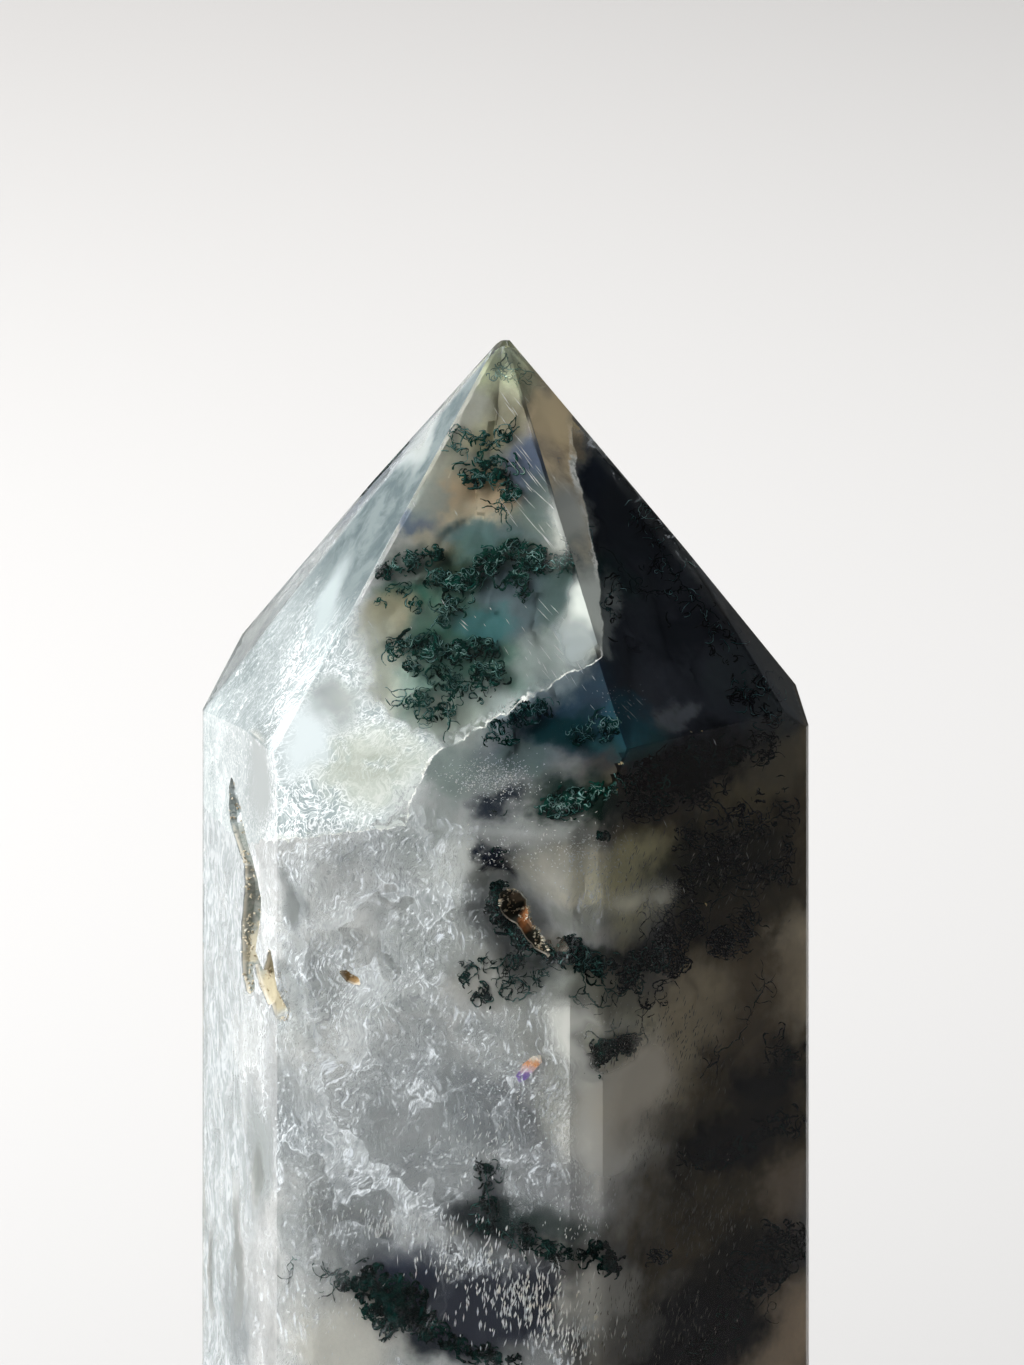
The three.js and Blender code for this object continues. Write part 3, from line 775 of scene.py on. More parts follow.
def buried(place):
    """True where a place lies inside the stone, below the polish."""
    spot, normal, _, away = skin.find_nearest(place)
    return (place - spot).dot(normal) < 0 and away > moss_cover


def lay(shape, points, radius, core=None):
    """Puts a tube through points, each a place and the normal above it, and a pale heart in front of it, partly a
    painted highlight.
    """
    runs, run = [], []
    for place, normal in points:
        broken = run and (place - run[-1][0]).length > 0.6 * MM
        if broken or not buried(place):
            runs.append(run)
            run = []
        if buried(place):
            run.append((place, normal))
    runs.append(run)
    for run in runs:
        if len(run) < 3:
            continue
        spline = shape.splines.new("POLY")
        spline.points.add(len(run) - 1)
        heart = None
        if core:
            heart = core.splines.new("POLY")
            heart.points.add(len(run) - 1)
        for index, (place, normal) in enumerate(run):
            share = index / (len(run) - 1)
            thick = radius * (0.35 + 0.65 * math.sin(math.pi * (0.1 + 0.8 * share))) * moss_seed.uniform(0.5, 1.6)
            spline.points[index].co = (*place, 1)
            spline.points[index].radius = thick
            if heart:
                heart.points[index].co = (*(place + normal * thick * 0.85), 1)
                heart.points[index].radius = thick * 0.42


def gap(x, y):
    """True in the bare places between knots of moss."""
    return noise.noise(Vector((x / 6.5, y / 5.0, 3.3))) > 0.27


def wander(at, x, y, angle, steps, share, curl, ellipse=None, twist=0.0):
    """The points of one curled thread, walked over the picture and kept near an ellipse."""
    points = []
    bend = moss_seed.uniform(-curl, curl)
    for _ in range(steps):
        points.append(at(x, y, share))
        bend = bend * 0.72 + moss_seed.gauss(0, curl * 0.7)
        if moss_seed.random() < 0.16:
            bend = -bend
        angle += bend + twist
        share = min(0.92, max(0.08, share + moss_seed.gauss(0, 0.035)))
        if ellipse:
            middle_x, middle_y, wide, high, swing = ellipse
            dx, dy = x - middle_x, y - middle_y
            along = (dx * math.cos(swing) + dy * math.sin(swing)) / wide
            across = (dy * math.cos(swing) - dx * math.sin(swing)) / high
            if along * along + across * across > 1 + noise.noise(Vector((x, y, 0)) / 11):
                home = math.atan2(-dy, -dx)
                angle += 0.25 * math.atan2(math.sin(home - angle), math.cos(home - angle))
            if gap(x, y):
                break
        x += math.cos(angle) * stride_px
        y += math.sin(angle) * stride_px
    return points


def clump(shape, core, at, x, y, wide, high, turn, count, thick=0.07, curl=0.62, length=24, shares=(0.15, 0.85)):
    """Tangled threads over an ellipse, wide by high and turned by degrees. Every second one has a pale heart, partly a
    painted highlight.
    """
    swing = math.radians(turn)
    for index in range(int(count * 1.5)):
        a, b = moss_seed.gauss(0, 0.5), moss_seed.gauss(0, 0.5)
        start_x = x + a * wide * math.cos(swing) - b * high * math.sin(swing)
        start_y = y + a * wide * math.sin(swing) + b * high * math.cos(swing)
        share = moss_seed.uniform(*shares)
        points = wander(
            at, start_x, start_y, moss_seed.uniform(0, 2 * math.pi), moss_seed.randint(length // 3, length if index % 4 == 0 else length // 2 + 1),
            share, curl, (x, y, wide, high, swing))
        lay(shape, points, thick * MM * moss_seed.uniform(0.6, 1.7), core if index % 2 == 0 and share < 0.65 else None)


def strand(shape, core, at, spots, thick=0.06, twigs=6, share=0.4, wobble=2.2):
    """A longer thread through spots of the picture, with short curled twigs."""
    points, drift_x, drift_y = [], 0.0, 0.0
    for (x, y), (next_x, next_y) in zip(spots, spots[1:]):
        pieces = max(2, int(math.hypot(next_x - x, next_y - y) / stride_px))
        for piece in range(pieces):
            part = piece / pieces
            drift_x = drift_x * 0.85 + moss_seed.gauss(0, wobble * 0.5)
            drift_y = drift_y * 0.85 + moss_seed.gauss(0, wobble * 0.5)
            points.append((x + (next_x - x) * part + drift_x, y + (next_y - y) * part + drift_y))
    lay(shape, [at(x, y, share) for x, y in points], thick * MM, core)
    for _ in range(twigs):
        x, y = moss_seed.choice(points)
        twig = wander(at, x, y, moss_seed.uniform(0, 2 * math.pi), moss_seed.randint(6, 16), share, 0.45)
        lay(shape, twig, thick * MM * 0.7, core if moss_seed.random() < 0.4 else None)


def finish_moss(shape, stain):
    moss = bpy.data.objects.new(shape.name, shape)
    bpy.context.scene.collection.objects.link(moss)
    bpy.ops.object.select_all(action="DESELECT")
    moss.select_set(True)
    bpy.context.view_layer.objects.active = moss
    bpy.ops.object.convert(target="MESH")
    moss = bpy.context.object
    moss.data.materials.clear()
    moss.data.materials.append(stain)
    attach(moss, "root")


def moss_material(name, dark, bright, rough):
    stain = bpy.data.materials.new(name)
    place = stone_places(stain)[0]
    tone = step(grain(place, 1.1, 4.0, 0.6), 0.36, 0.66)
    shader = place.node("ShaderNodeBsdfPrincipled", inputs={
        "Base Color": blend(tone, (*dark, 1), (*bright, 1)), "Roughness": between(tone, rough, rough - 0.2),
        "Specular IOR Level": 0.0})
    end = stain.node_tree.nodes.new("ShaderNodeOutputMaterial")
    stain.node_tree.links.new(shader.socket, end.inputs["Surface"])
    return stain


# The heart materials are partly painted highlight: lighter copies of the thread colours.
teal_moss = moss_material("teal_moss", (0.002, 0.016, 0.012), (0.012, 0.105, 0.082), 0.8)
dark_moss_and_dim_highlight = moss_material("dark_moss_and_dim_highlight", (0.001, 0.006, 0.005), (0.006, 0.045, 0.038), 0.8)
pale_moss_and_highlight = moss_material("pale_moss_and_highlight", (0.04, 0.16, 0.15), (0.40, 0.66, 0.64), 0.5)
green_moss_and_highlight = moss_material("green_moss_and_highlight", (0.012, 0.055, 0.050), (0.10, 0.26, 0.24), 0.6)
black_moss = moss_material("black_moss", (0.001, 0.002, 0.0015), (0.004, 0.009, 0.007), 0.9)

point_moss, point_hearts_and_highlights = moss_curve("moss_in_point"), moss_curve("moss_hearts_and_highlights_in_point")
for x, y, wide, high, turn, count, thick in [
    (516, 366, 22, 3, 4, 8, 0.030), (530, 378, 26, 5, 18, 8, 0.030), (496, 372, 8, 7, 0, 6, 0.035),
    (452, 440, 13, 9, 10, 9, 0.035), (483, 440, 15, 5, 14, 15, 0.055), (508, 434, 16, 5, -28, 12, 0.050),
    (488, 460, 16, 5, 5, 26, 0.065), (496, 470, 22, 10, -4, 66, 0.075), (474, 478, 14, 6, 12, 34, 0.070),
    (510, 490, 12, 6, 10, 20, 0.055), (503, 505, 5, 9, 10, 6, 0.040),
    (388, 570, 16, 5, 0, 20, 0.055), (405, 564, 14, 10, -30, 44, 0.060), (425, 556, 13, 7, -25, 34, 0.060),
    (436, 551, 6, 5, 0, 20, 0.060), (448, 582, 24, 8, 4, 56, 0.060), (470, 578, 12, 6, 10, 24, 0.055),
    (490, 560, 16, 10, -30, 46, 0.060), (513, 550, 18, 7, -4, 36, 0.055), (520, 572, 24, 8, -35, 64, 0.065),
    (548, 560, 22, 9, 0, 56, 0.055), (575, 565, 18, 10, 20, 40, 0.050), (585, 545, 12, 8, 30, 14, 0.040),
    (522, 590, 8, 12, 0, 16, 0.050), (455, 602, 14, 14, 30, 36, 0.060), (445, 618, 9, 8, 0, 16, 0.055),
    (400, 592, 20, 6, -12, 18, 0.045), (378, 602, 6, 3, 0, 4, 0.040), (415, 606, 8, 5, 0, 14, 0.050),
    (420, 648, 30, 9, 4, 88, 0.065), (395, 650, 9, 6, 30, 26, 0.060), (460, 652, 26, 8, -4, 76, 0.065),
    (484, 648, 12, 6, 0, 30, 0.065), (412, 666, 9, 8, 60, 20, 0.050), (442, 675, 20, 9, -10, 34, 0.050),
    (490, 672, 18, 10, 10, 40, 0.060), (455, 686, 14, 10, -35, 26, 0.050), (482, 690, 10, 12, 0, 22, 0.055),
    (425, 700, 16, 12, -20, 22, 0.045), (410, 703, 6, 6, 0, 9, 0.050), (448, 712, 9, 8, 0, 16, 0.050),
    (430, 718, 16, 7, 0, 12, 0.045), (331, 760, 12, 2.5, 10, 9, 0.035), (371, 763, 8, 3, -12, 8, 0.040),
    (383, 763, 8, 5, 0, 16, 0.045), (522, 714, 22, 10, -15, 60, 0.055), (548, 708, 14, 8, 0, 24, 0.050),
    (604, 728, 17, 11, 10, 56, 0.055), (580, 735, 16, 7, 0, 22, 0.050), (497, 728, 10, 5, 0, 10, 0.045),
    (508, 738, 9, 4, 20, 8, 0.045), (494, 742, 10, 4, 15, 8, 0.045),
    (578, 800, 38, 9, -14, 130, 0.075), (556, 806, 17, 10, -10, 56, 0.080), (606, 790, 20, 9, -20, 50, 0.075),
]:
    clump(point_moss, point_hearts_and_highlights, inside_at, x, y, wide, high, turn, count, thick)
for spots in [
    [(452, 441), (446, 432), (458, 428), (470, 432), (480, 438)], [(446, 446), (456, 452), (468, 448)],
    [(480, 444), (498, 443), (512, 432), (522, 424)], [(500, 505), (506, 512), (500, 520)],
    [(391, 648), (410, 640), (428, 625), (446, 612), (455, 600)], [(388, 645), (412, 637), (428, 636)],
    [(390, 655), (420, 650), (450, 652), (490, 646)], [(392, 712), (404, 696), (412, 684)],
    [(425, 566), (434, 578), (446, 584)], [(424, 582), (440, 580), (462, 572)],
    [(480, 590), (500, 560), (530, 546)], [(452, 706), (446, 722), (444, 732)], [(570, 545), (590, 530), (594, 548)],
    [(500, 362), (520, 370), (545, 378), (556, 390)], [(495, 366), (508, 376), (512, 384)],
]:
    strand(point_moss, point_hearts_and_highlights, inside_at, spots)
finish_moss(point_moss, teal_moss)

face_moss, face_hearts_and_highlights = moss_curve("moss_in_front_face"), moss_curve("moss_hearts_and_highlights_in_front_face")
for x, y, wide, high, turn, count, thick in [
    (499, 898, 8, 14, 8, 70, 0.085), (494, 908, 7, 12, -20, 44, 0.085), (507, 920, 9, 14, -40, 76, 0.085),
    (521, 938, 16, 6, 44, 76, 0.080),
    (548, 952, 14, 6, 10, 40, 0.080), (565, 945, 14, 8, -30, 34, 0.065), (576, 958, 22, 7, 8, 70, 0.070),
    (610, 968, 30, 9, 10, 90, 0.070), (644, 962, 20, 9, -10, 60, 0.070), (660, 955, 10, 14, 0, 36, 0.065),
    (466, 968, 12, 9, 20, 20, 0.040), (475, 985, 15, 8, 35, 26, 0.040), (492, 962, 10, 9, 0, 12, 0.036),
    (515, 985, 18, 14, 0, 26, 0.034), (512, 960, 12, 8, 0, 14, 0.034), (482, 996, 12, 5, -10, 14, 0.042),
    (543, 978, 14, 5, -35, 10, 0.040), (634, 984, 16, 8, 0, 22, 0.050),
    (592, 1066, 10, 8, 20, 44, 0.085), (606, 1052, 16, 7, -30, 60, 0.080), (626, 1044, 16, 6, -24, 44, 0.070),
    (594, 1076, 5, 5, 0, 22, 0.080),
    (482, 1170, 8, 9, 0, 20, 0.060), (497, 1172, 8, 8, 0, 12, 0.050), (487, 1205, 4, 24, 4, 40, 0.065),
    (486, 1228, 6, 5, 0, 20, 0.070), (520, 1236, 20, 11, 16, 60, 0.055), (546, 1248, 18, 7, 6, 44, 0.055),
    (578, 1256, 26, 5, 4, 40, 0.050), (608, 1262, 14, 8, 8, 60, 0.080), (600, 1250, 10, 6, 0, 26, 0.075),
    (350, 1284, 13, 6, 20, 30, 0.070), (375, 1282, 24, 15, 12, 130, 0.085), (400, 1298, 26, 20, 20, 190, 0.090),
    (416, 1318, 22, 14, 30, 90, 0.085), (440, 1336, 20, 9, 28, 60, 0.080), (470, 1350, 22, 7, 22, 50, 0.075),
    (500, 1360, 24, 6, 8, 50, 0.075), (388, 1338, 10, 6, 20, 14, 0.050), (380, 1314, 20, 9, 28, 70, 0.085),
    (603, 838, 4, 4, 0, 18, 0.080), (495, 812, 6, 4, 20, 6, 0.040), (500, 856, 6, 4, 20, 5, 0.036),
]:
    hearts = face_hearts_and_highlights if 930 < y < 1012 else None
    clump(face_moss, hearts, inside_at, x, y, wide, high, turn, count, thick, length=22)
for spots in [
    [(505, 955), (498, 968), (500, 980), (490, 982)], [(508, 980), (510, 960), (518, 956), (516, 966)],
    [(505, 985), (512, 976), (528, 984), (532, 996), (520, 1003), (508, 998)],
    [(580, 968), (588, 990), (594, 1006), (604, 1006), (612, 998)], [(600, 975), (602, 990), (610, 998)],
    [(628, 985), (622, 1000), (618, 1005)], [(640, 975), (642, 992), (636, 998)], [(575, 1000), (585, 1014)],
    [(614, 1018), (613, 1030), (610, 1044)], [(596, 1046), (612, 1040), (630, 1036)],
    [(471, 1208), (480, 1200), (488, 1194)], [(478, 1215), (474, 1226), (480, 1232)], [(486, 1170), (488, 1200), (487, 1230)],
    [(498, 1228), (508, 1236), (518, 1250), (520, 1258)], [(320, 1277), (328, 1273)], [(334, 1292), (340, 1282)],
    [(330, 1275), (345, 1268)], [(548, 1242), (550, 1262)], [(292, 1255), (290, 1275)],
]:
    strand(face_moss, face_hearts_and_highlights, inside_at, spots, twigs=4)
finish_moss(face_moss, dark_moss_and_dim_highlight)
finish_moss(face_hearts_and_highlights, green_moss_and_highlight)

side_moss, side_hearts_and_highlights = moss_curve("moss_in_dark_side"), moss_curve("moss_hearts_and_highlights_in_dark_side")
for x, y, wide, high, turn, count, thick in [
    (640, 520, 20, 16, 40, 26, 0.040), (660, 560, 26, 18, 45, 34, 0.045), (690, 600, 26, 18, 45, 34, 0.045),
    (720, 640, 26, 18, 45, 34, 0.045), (755, 690, 24, 24, 20, 70, 0.050), (762, 748, 14, 14, 0, 34, 0.045),
    (615, 600, 8, 30, 0, 24, 0.045), (770, 715, 16, 10, 0, 30, 0.050),
    (650, 775, 36, 13, -16, 90, 0.070), (690, 760, 44, 13, -12, 110, 0.070), (660, 800, 34, 13, -4, 60, 0.060),
    (735, 755, 26, 9, -20, 50, 0.060), (700, 790, 30, 14, -10, 40, 0.050), (640, 812, 26, 10, 0, 30, 0.045),
    (740, 830, 34, 20, -30, 50, 0.045), (775, 810, 20, 24, -20, 36, 0.045), (700, 880, 26, 22, -40, 44, 0.045),
    (725, 860, 22, 24, -50, 44, 0.045), (670, 900, 18, 16, -40, 24, 0.042), (690, 925, 20, 10, -45, 44, 0.055),
    (668, 935, 12, 14, 0, 36, 0.055), (725, 945, 16, 12, 20, 60, 0.045), (745, 925, 16, 22, 0, 36, 0.040),
    (655, 1000, 10, 18, 40, 24, 0.045), (676, 962, 10, 16, 40, 34, 0.055), (790, 860, 14, 30, 0, 30, 0.040),
    (760, 880, 22, 18, -30, 34, 0.040), (700, 838, 40, 16, -10, 40, 0.040),
    (740, 1145, 36, 8, -22, 70, 0.060), (780, 1125, 20, 12, -26, 50, 0.060), (700, 1158, 20, 14, 0, 36, 0.050),
    (780, 1055, 16, 24, 0, 34, 0.050), (745, 1270, 40, 9, -34, 70, 0.065), (770, 1240, 26, 8, -34, 44, 0.060),
    (765, 1280, 44, 9, -38, 90, 0.070), (730, 1318, 26, 12, -40, 60, 0.070), (700, 1350, 26, 10, -30, 50, 0.065),
    (660, 1255, 16, 6, -20, 16, 0.045), (795, 1240, 10, 16, 0, 24, 0.050),
]:
    hearts = point_hearts_and_highlights if y < 720 else side_hearts_and_highlights
    clump(side_moss, hearts, inside_at, x, y, wide, high, turn, count, thick, length=24)
for spots in [
    [(640, 1030), (660, 990), (680, 960), (700, 935), (708, 915)], [(645, 945), (655, 925), (668, 905), (672, 925)],
    [(700, 935), (716, 900), (730, 870), (745, 840), (775, 800)], [(655, 900), (680, 880), (700, 850)],
    [(765, 980), (758, 1000), (752, 1010)], [(752, 1010), (740, 1035), (720, 1050), (700, 1080)],
    [(700, 850), (740, 838), (780, 815), (800, 800)], [(720, 880), (760, 870), (800, 850)],
    [(788, 1260), (780, 1290), (765, 1320)], [(730, 1345), (745, 1335)], [(745, 900), (755, 925), (748, 950)],
    [(760, 735), (772, 745), (765, 762), (752, 764)], [(620, 560), (640, 590), (660, 600)],
    [(650, 530), (680, 580), (720, 620)], [(690, 780), (720, 800), (730, 820)], [(640, 930), (650, 900), (655, 885)],
]:
    strand(side_moss, side_hearts_and_highlights, inside_at, spots, thick=0.05, twigs=8)
finish_moss(point_hearts_and_highlights, pale_moss_and_highlight)
finish_moss(side_moss, black_moss)
finish_moss(side_hearts_and_highlights, dark_moss_and_dim_highlight)

# The sides that the picture doesn't show have moss of the same kind in their clear bands.
hidden_moss, hidden_hearts_and_highlights = moss_curve("moss_in_back"), moss_curve("moss_hearts_and_highlights_in_back")
for at, x, y, wide, high, tone in hidden_bands:
    lean = moss_seed.uniform(-22, 22)
    for _ in range(4):
        away = moss_seed.gauss(0, 0.45) * wide
        spot_y = y + away * math.tan(math.radians(lean)) + moss_seed.gauss(0, 0.4) * high
        clump(
            hidden_moss, hidden_hearts_and_highlights, at, x + away, spot_y, moss_seed.uniform(18, 46), moss_seed.uniform(6, 16),
            lean, moss_seed.randint(30, 66), 0.065)
    strand(hidden_moss, hidden_hearts_and_highlights, at, [(x - wide * 0.7, y + 10), (x, y), (x + wide * 0.7, y - 8)], 0.05, 8)
finish_moss(hidden_moss, dark_moss_and_dim_highlight)
finish_moss(hidden_hearts_and_highlights, pale_moss_and_highlight)

# Crystal crust
# The hollows are lined with tiny quartz crystals, short points with a few faces each, stuck
# to the bare stone.
crust_seed = random.Random(7)


def add_gem(corners, faces, middle, along, across, thin):
    """Adds a crystal with a point at each end to lists of corners and faces."""
    first = len(corners)
    corners.extend([middle + along, middle - along])
    corners.extend([middle + across, middle + thin, middle - across, middle - thin])
    ring = [first + 2, first + 3, first + 4, first + 5]
    for a, b in zip(ring, ring[1:] + ring[:1]):
        faces.append((first, a, b))
        faces.append((first + 1, b, a))


def finish_gems(name, corners, faces, finish):
    mesh = bpy.data.meshes.new(name)
    mesh.from_pydata(corners, [], faces)
    mesh.materials.append(finish)
    gems = bpy.data.objects.new(name, mesh)
    bpy.context.scene.collection.objects.link(gems)
    bpy.ops.object.select_all(action="DESELECT")
    gems.select_set(True)
    bpy.context.view_layer.objects.active = gems
    bpy.ops.object.mode_set(mode="EDIT")
    bpy.ops.mesh.select_all(action="SELECT")
    bpy.ops.mesh.normals_make_consistent(inside=False)
    bpy.ops.object.mode_set(mode="OBJECT")
    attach(gems, "root")


def glassy_grains(name, tones, rough, size=0.8):
    """Small crystals whose colour changes from grain to grain."""
    finish = bpy.data.materials.new(name)
    place = stone_places(finish)[0]
    tone = grain(place, size, 3.0, 0.6)
    colour = blend(step(tone, 0.35, 0.52), (*tones[0], 1), (*tones[1], 1))
    colour = blend(step(tone, 0.58, 0.66), colour, (*tones[2], 1))
    shader = place.node("ShaderNodeBsdfPrincipled", inputs={"Base Color": colour, "Roughness": between(tone, rough, rough + 0.2)})
    end = finish.node_tree.nodes.new("ShaderNodeOutputMaterial")
    finish.node_tree.links.new(shader.socket, end.inputs["Surface"])
    return finish


crust_finish = glassy_grains("quartz_crust", [(0.30, 0.22, 0.13), (0.62, 0.55, 0.42), (0.86, 0.82, 0.72)], 0.2, 0.6)
pit_faces = []
for face in stone.data.polygons:
    cover = min(distance - normal.dot(face.center) for normal, distance in flats)
    if cover > 0.06 * MM and face.area > 0.0001 * MM * MM and face.center.z > 40 * MM:
        pit_faces.append(face)
pit_weights = [face.area for face in pit_faces]
corners, faces = [], []
for face in crust_seed.choices(pit_faces, pit_weights, k=1500):
    ring = [stone.data.vertices[k].co for k in face.vertices]
    shares = [crust_seed.random() ** 2 + 0.01 for _ in ring]
    spot = sum((corner * share for corner, share in zip(ring, shares)), Vector()) / sum(shares)
    if noise.noise(spot * 700) < -0.05:
        continue
    tilt = Vector([crust_seed.gauss(0, 0.45) for _ in range(3)])
    along = (face.normal + tilt).normalized()
    across = along.orthogonal().normalized()
    size = crust_seed.uniform(0.05, 0.18) * MM
    add_gem(corners, faces, spot, along * size * 1.3, across * size * 0.6, along.cross(across) * size * 0.6)
finish_gems("crystal_crust", corners, faces, crust_finish)

# Bright flakes
# Small broken quartz faces and healed cracks below the polish that catch the light: upright
# needles low in the front face, loose glitter higher up and a few golden grains.
flake_seed = random.Random(23)


def flakes(corners, faces, x, y, wide, high, count, long_mm, wide_mm, lean=0.0, spread=12.0, shares=(0.1, 0.7)):
    """Flat flakes over an ellipse of the picture, leaning by degrees from upright with a spread."""
    for _ in range(count):
        spot, normal = inside_at(
            x + flake_seed.gauss(0, 0.5) * wide, y + flake_seed.gauss(0, 0.5) * high, flake_seed.uniform(*shares))
        if not buried(spot):
            continue
        level = Vector((0, 0, 1)).cross(normal).normalized()
        rise = normal.cross(level)
        turn = math.radians(lean + flake_seed.gauss(0, spread))
        along = rise * math.cos(turn) + level * math.sin(turn) + normal * flake_seed.gauss(0, 0.2)
        across = normal.cross(along).normalized() + normal * flake_seed.gauss(0, 0.5)
        size = flake_seed.uniform(*long_mm) * MM * 0.5
        breadth = flake_seed.uniform(*wide_mm) * MM * 0.5
        add_gem(corners, faces, spot, along.normalized() * size, across.normalized() * breadth, normal * breadth * 0.3)


white_flake = glassy_grains("white_flake", [(0.62, 0.68, 0.74), (0.86, 0.88, 0.90), (0.95, 0.94, 0.88)], 0.25)
corners, faces = [], []
for x, y, wide, high, count, long_mm, wide_mm, lean, spread in [
    (400, 1225, 70, 18, 300, (0.3, 0.9), (0.06, 0.18), 8, 9),
    (470, 1260, 60, 26, 240, (0.3, 0.9), (0.06, 0.18), 5, 9),
    (520, 1300, 60, 40, 420, (0.3, 0.9), (0.06, 0.18), 4, 9),
    (570, 1335, 50, 30, 260, (0.3, 0.9), (0.06, 0.18), 6, 9),
    (480, 1140, 60, 40, 260, (0.2, 0.6), (0.05, 0.14), 10, 20),
    (560, 1120, 22, 60, 260, (0.10, 0.4), (0.05, 0.12), 6, 24),
    (580, 1200, 30, 60, 240, (0.10, 0.4), (0.05, 0.10), 5, 12),
    (520, 1080, 50, 40, 320, (0.08, 0.35), (0.04, 0.12), 20, 60),
    (590, 860, 40, 40, 300, (0.08, 0.30), (0.04, 0.12), 10, 80),
    (480, 850, 60, 30, 240, (0.08, 0.25), (0.04, 0.10), 0, 80),
    (430, 940, 60, 60, 300, (0.08, 0.35), (0.03, 0.09), 50, 50),
    (350, 1060, 60, 60, 260, (0.08, 0.35), (0.03, 0.09), 35, 40),
    (330, 1180, 50, 50, 300, (0.08, 0.35), (0.03, 0.09), 20, 20),
    (340, 860, 60, 30, 200, (0.08, 0.35), (0.03, 0.09), 30, 60),
    (330, 1300, 50, 60, 240, (0.10, 0.45), (0.03, 0.09), 12, 12),
    (492, 778, 46, 22, 700, (0.06, 0.22), (0.03, 0.09), 0, 90),
    (560, 850, 60, 20, 260, (0.06, 0.24), (0.03, 0.09), 0, 90),
    (620, 700, 30, 20, 60, (0.05, 0.14), (0.02, 0.05), -40, 20),
    (380, 690, 24, 60, 120, (0.05, 0.20), (0.03, 0.07), 30, 40),
    (330, 650, 24, 50, 260, (0.10, 0.45), (0.03, 0.08), 30, 16),
    (300, 740, 40, 40, 260, (0.08, 0.30), (0.03, 0.08), 30, 40),
    (590, 1120, 34, 70, 420, (0.08, 0.30), (0.04, 0.10), 10, 30),
    (600, 1040, 30, 40, 200, (0.06, 0.25), (0.03, 0.09), 20, 50),
]:
    flakes(corners, faces, x, y, wide, high, count, long_mm, wide_mm, lean, spread)
finish_gems("white_flakes", corners, faces, white_flake)

dull_flake = glassy_grains("dull_flake", [(0.10, 0.10, 0.09), (0.20, 0.19, 0.17), (0.36, 0.33, 0.29)], 0.5)
corners, faces = [], []
for x, y, wide, high, count, lean in [
    (640, 1110, 40, 80, 420, 22), (690, 1050, 50, 60, 260, 26), (650, 1320, 60, 44, 360, 14),
    (700, 1220, 60, 50, 300, 20), (740, 860, 60, 50, 160, 30), (640, 880, 30, 60, 120, 30),
]:
    flakes(corners, faces, x, y, wide, high, count, (0.2, 0.7), (0.04, 0.12), lean, 12, (0.2, 0.9))
finish_gems("dull_flakes", corners, faces, dull_flake)

# Golden grains near the top of the side, and a few round the hollow and low at the left.
golden = glassy_grains("golden_grain", [(0.75, 0.50, 0.16), (0.90, 0.72, 0.34), (0.95, 0.90, 0.70)], 0.2)
corners, faces = [], []
for x, y, wide, high, count in [
    (621, 765, 3, 5, 10), (614, 788, 3, 3, 6), (694, 731, 8, 2, 6), (424, 877, 4, 2, 8), (412, 870, 6, 3, 8),
    (314, 1200, 3, 6, 26), (705, 905, 2, 2, 2), (682, 1098, 1, 1, 1),
]:
    flakes(corners, faces, x, y, wide, high, count, (0.10, 0.30), (0.06, 0.16), 0, 60, (0.1, 0.3))
finish_gems("golden_grains", corners, faces, golden)

# Rainbow flake
# One healed crack below the front face splits the light: orange and cream at its top, violet
# at its foot. It is a thin slanting plate with ragged ends.
rainbow = bpy.data.materials.new("rainbow_crack")
place, swirled, x_mm, y_mm, z_mm = stone_places(rainbow)
flake_top, flake_foot = seen_at(535, 1054)[0].z / MM, seen_at(520, 1082)[0].z / MM
rise = step(z_mm + (grain(place, 0.4, 3.0) - 0.5) * 0.8, flake_foot, flake_top)
colour = blend(step(rise, 0.1, 0.45), (0.22, 0.10, 0.55, 1), (0.85, 0.62, 0.62, 1))
colour = blend(step(rise, 0.45, 0.7), colour, (0.95, 0.45, 0.16, 1))
colour = blend(step(rise, 0.75, 0.95), colour, (0.96, 0.90, 0.80, 1))
shader = place.node("ShaderNodeBsdfPrincipled", inputs={"Base Color": colour, "Roughness": between(rise, 0.3, 0.15)})
end = rainbow.node_tree.nodes.new("ShaderNodeOutputMaterial")
rainbow.node_tree.links.new(shader.socket, end.inputs["Surface"])
corners, faces = [], []
outline = [(516, 1076), (519, 1083), (527, 1079), (542, 1062), (541, 1055), (533, 1056), (523, 1064)]
for share in (0.10, 0.16):
    corners.extend(inside_at(x, y, share)[0] for x, y in outline)
count = len(outline)
faces.append(tuple(range(count)))
faces.append(tuple(range(2 * count - 1, count - 1, -1)))
for k in range(count):
    faces.append((k, k + count, (k + 1) % count + count, (k + 1) % count))
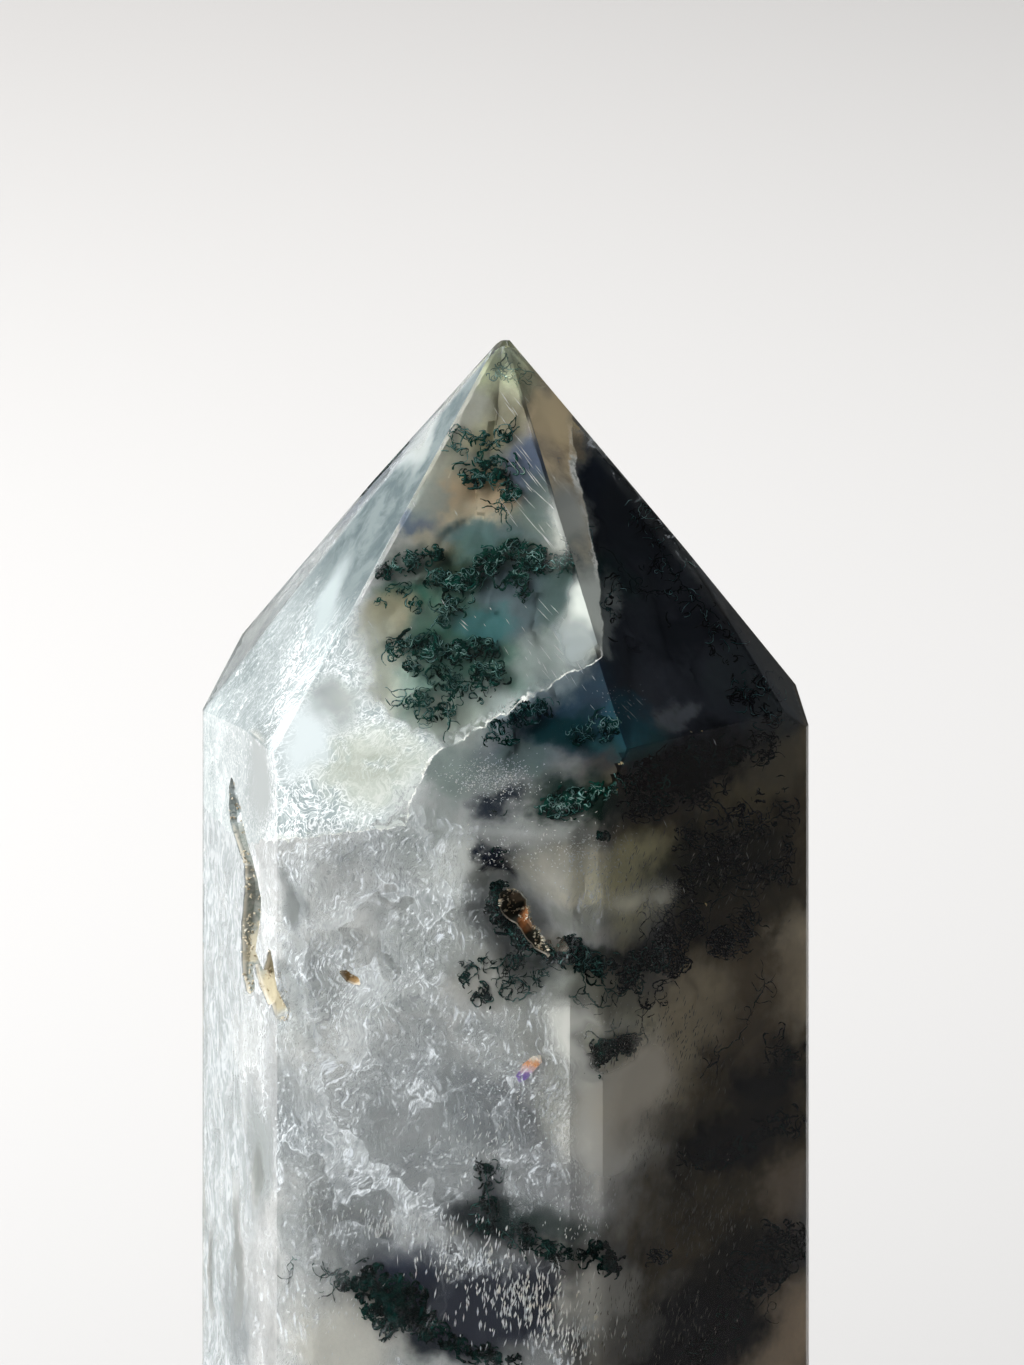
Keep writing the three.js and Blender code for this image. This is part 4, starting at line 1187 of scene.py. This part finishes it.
finish_gems("rainbow_flake", corners, faces, rainbow)

# Polish scratches
# Fine white lines that the grinding wheel left on the front facet of the point, side by side
# and running down to the right. Each is a shallow groove that holds white dust.
scratch_seed = random.Random(5)
dust = glassy_grains("white_dust", [(0.60, 0.62, 0.62), (0.78, 0.80, 0.80), (0.90, 0.90, 0.88)], 0.6)
corners, faces = [], []
for x, y, wide, high, count, long_px, turn in [
    (515, 404, 14, 8, 5, (8, 22), 52), (500, 412, 10, 5, 4, (6, 14), 58), (535, 470, 26, 16, 9, (10, 34), 52),
    (520, 450, 12, 12, 4, (10, 26), 52), (540, 500, 24, 18, 12, (10, 44), 50), (555, 530, 18, 14, 8, (10, 30), 52),
    (510, 512, 10, 14, 3, (10, 24), 52), (545, 608, 12, 6, 3, (12, 26), 48), (466, 624, 5, 3, 2, (10, 18), 46),
    (565, 640, 26, 22, 16, (6, 26), 50), (535, 660, 22, 12, 9, (5, 16), 60), (585, 680, 16, 10, 6, (6, 18), 56),
    (420, 470, 30, 40, 6, (4, 8), 60), (350, 640, 40, 60, 10, (4, 10), 60), (500, 600, 60, 40, 8, (3, 8), 56),
    (620, 700, 26, 20, 9, (6, 16), 48), (700, 850, 60, 90, 10, (4, 10), 70), (420, 900, 80, 60, 12, (4, 10), 60),
]:
    for _ in range(count):
        mid_x, mid_y = x + scratch_seed.gauss(0, 0.6) * wide, y + scratch_seed.gauss(0, 0.6) * high
        half = scratch_seed.uniform(*long_px) / 2
        way = math.radians(turn + scratch_seed.gauss(0, 3))
        start, normal = seen_at(mid_x - half * math.cos(way), mid_y - half * math.sin(way))
        stop, last_normal = seen_at(mid_x + half * math.cos(way), mid_y + half * math.sin(way))
        if (normal - last_normal).length > 0.001:
            continue
        sunk = normal * 0.012 * MM
        along = (stop - start) / 2
        breadth = scratch_seed.uniform(0.018, 0.04) * MM
        add_gem(corners, faces, (start + stop) / 2 - sunk, along, normal.cross(along).normalized() * breadth, normal * 0.008 * MM)
finish_gems("polish_scratches", corners, faces, dust)
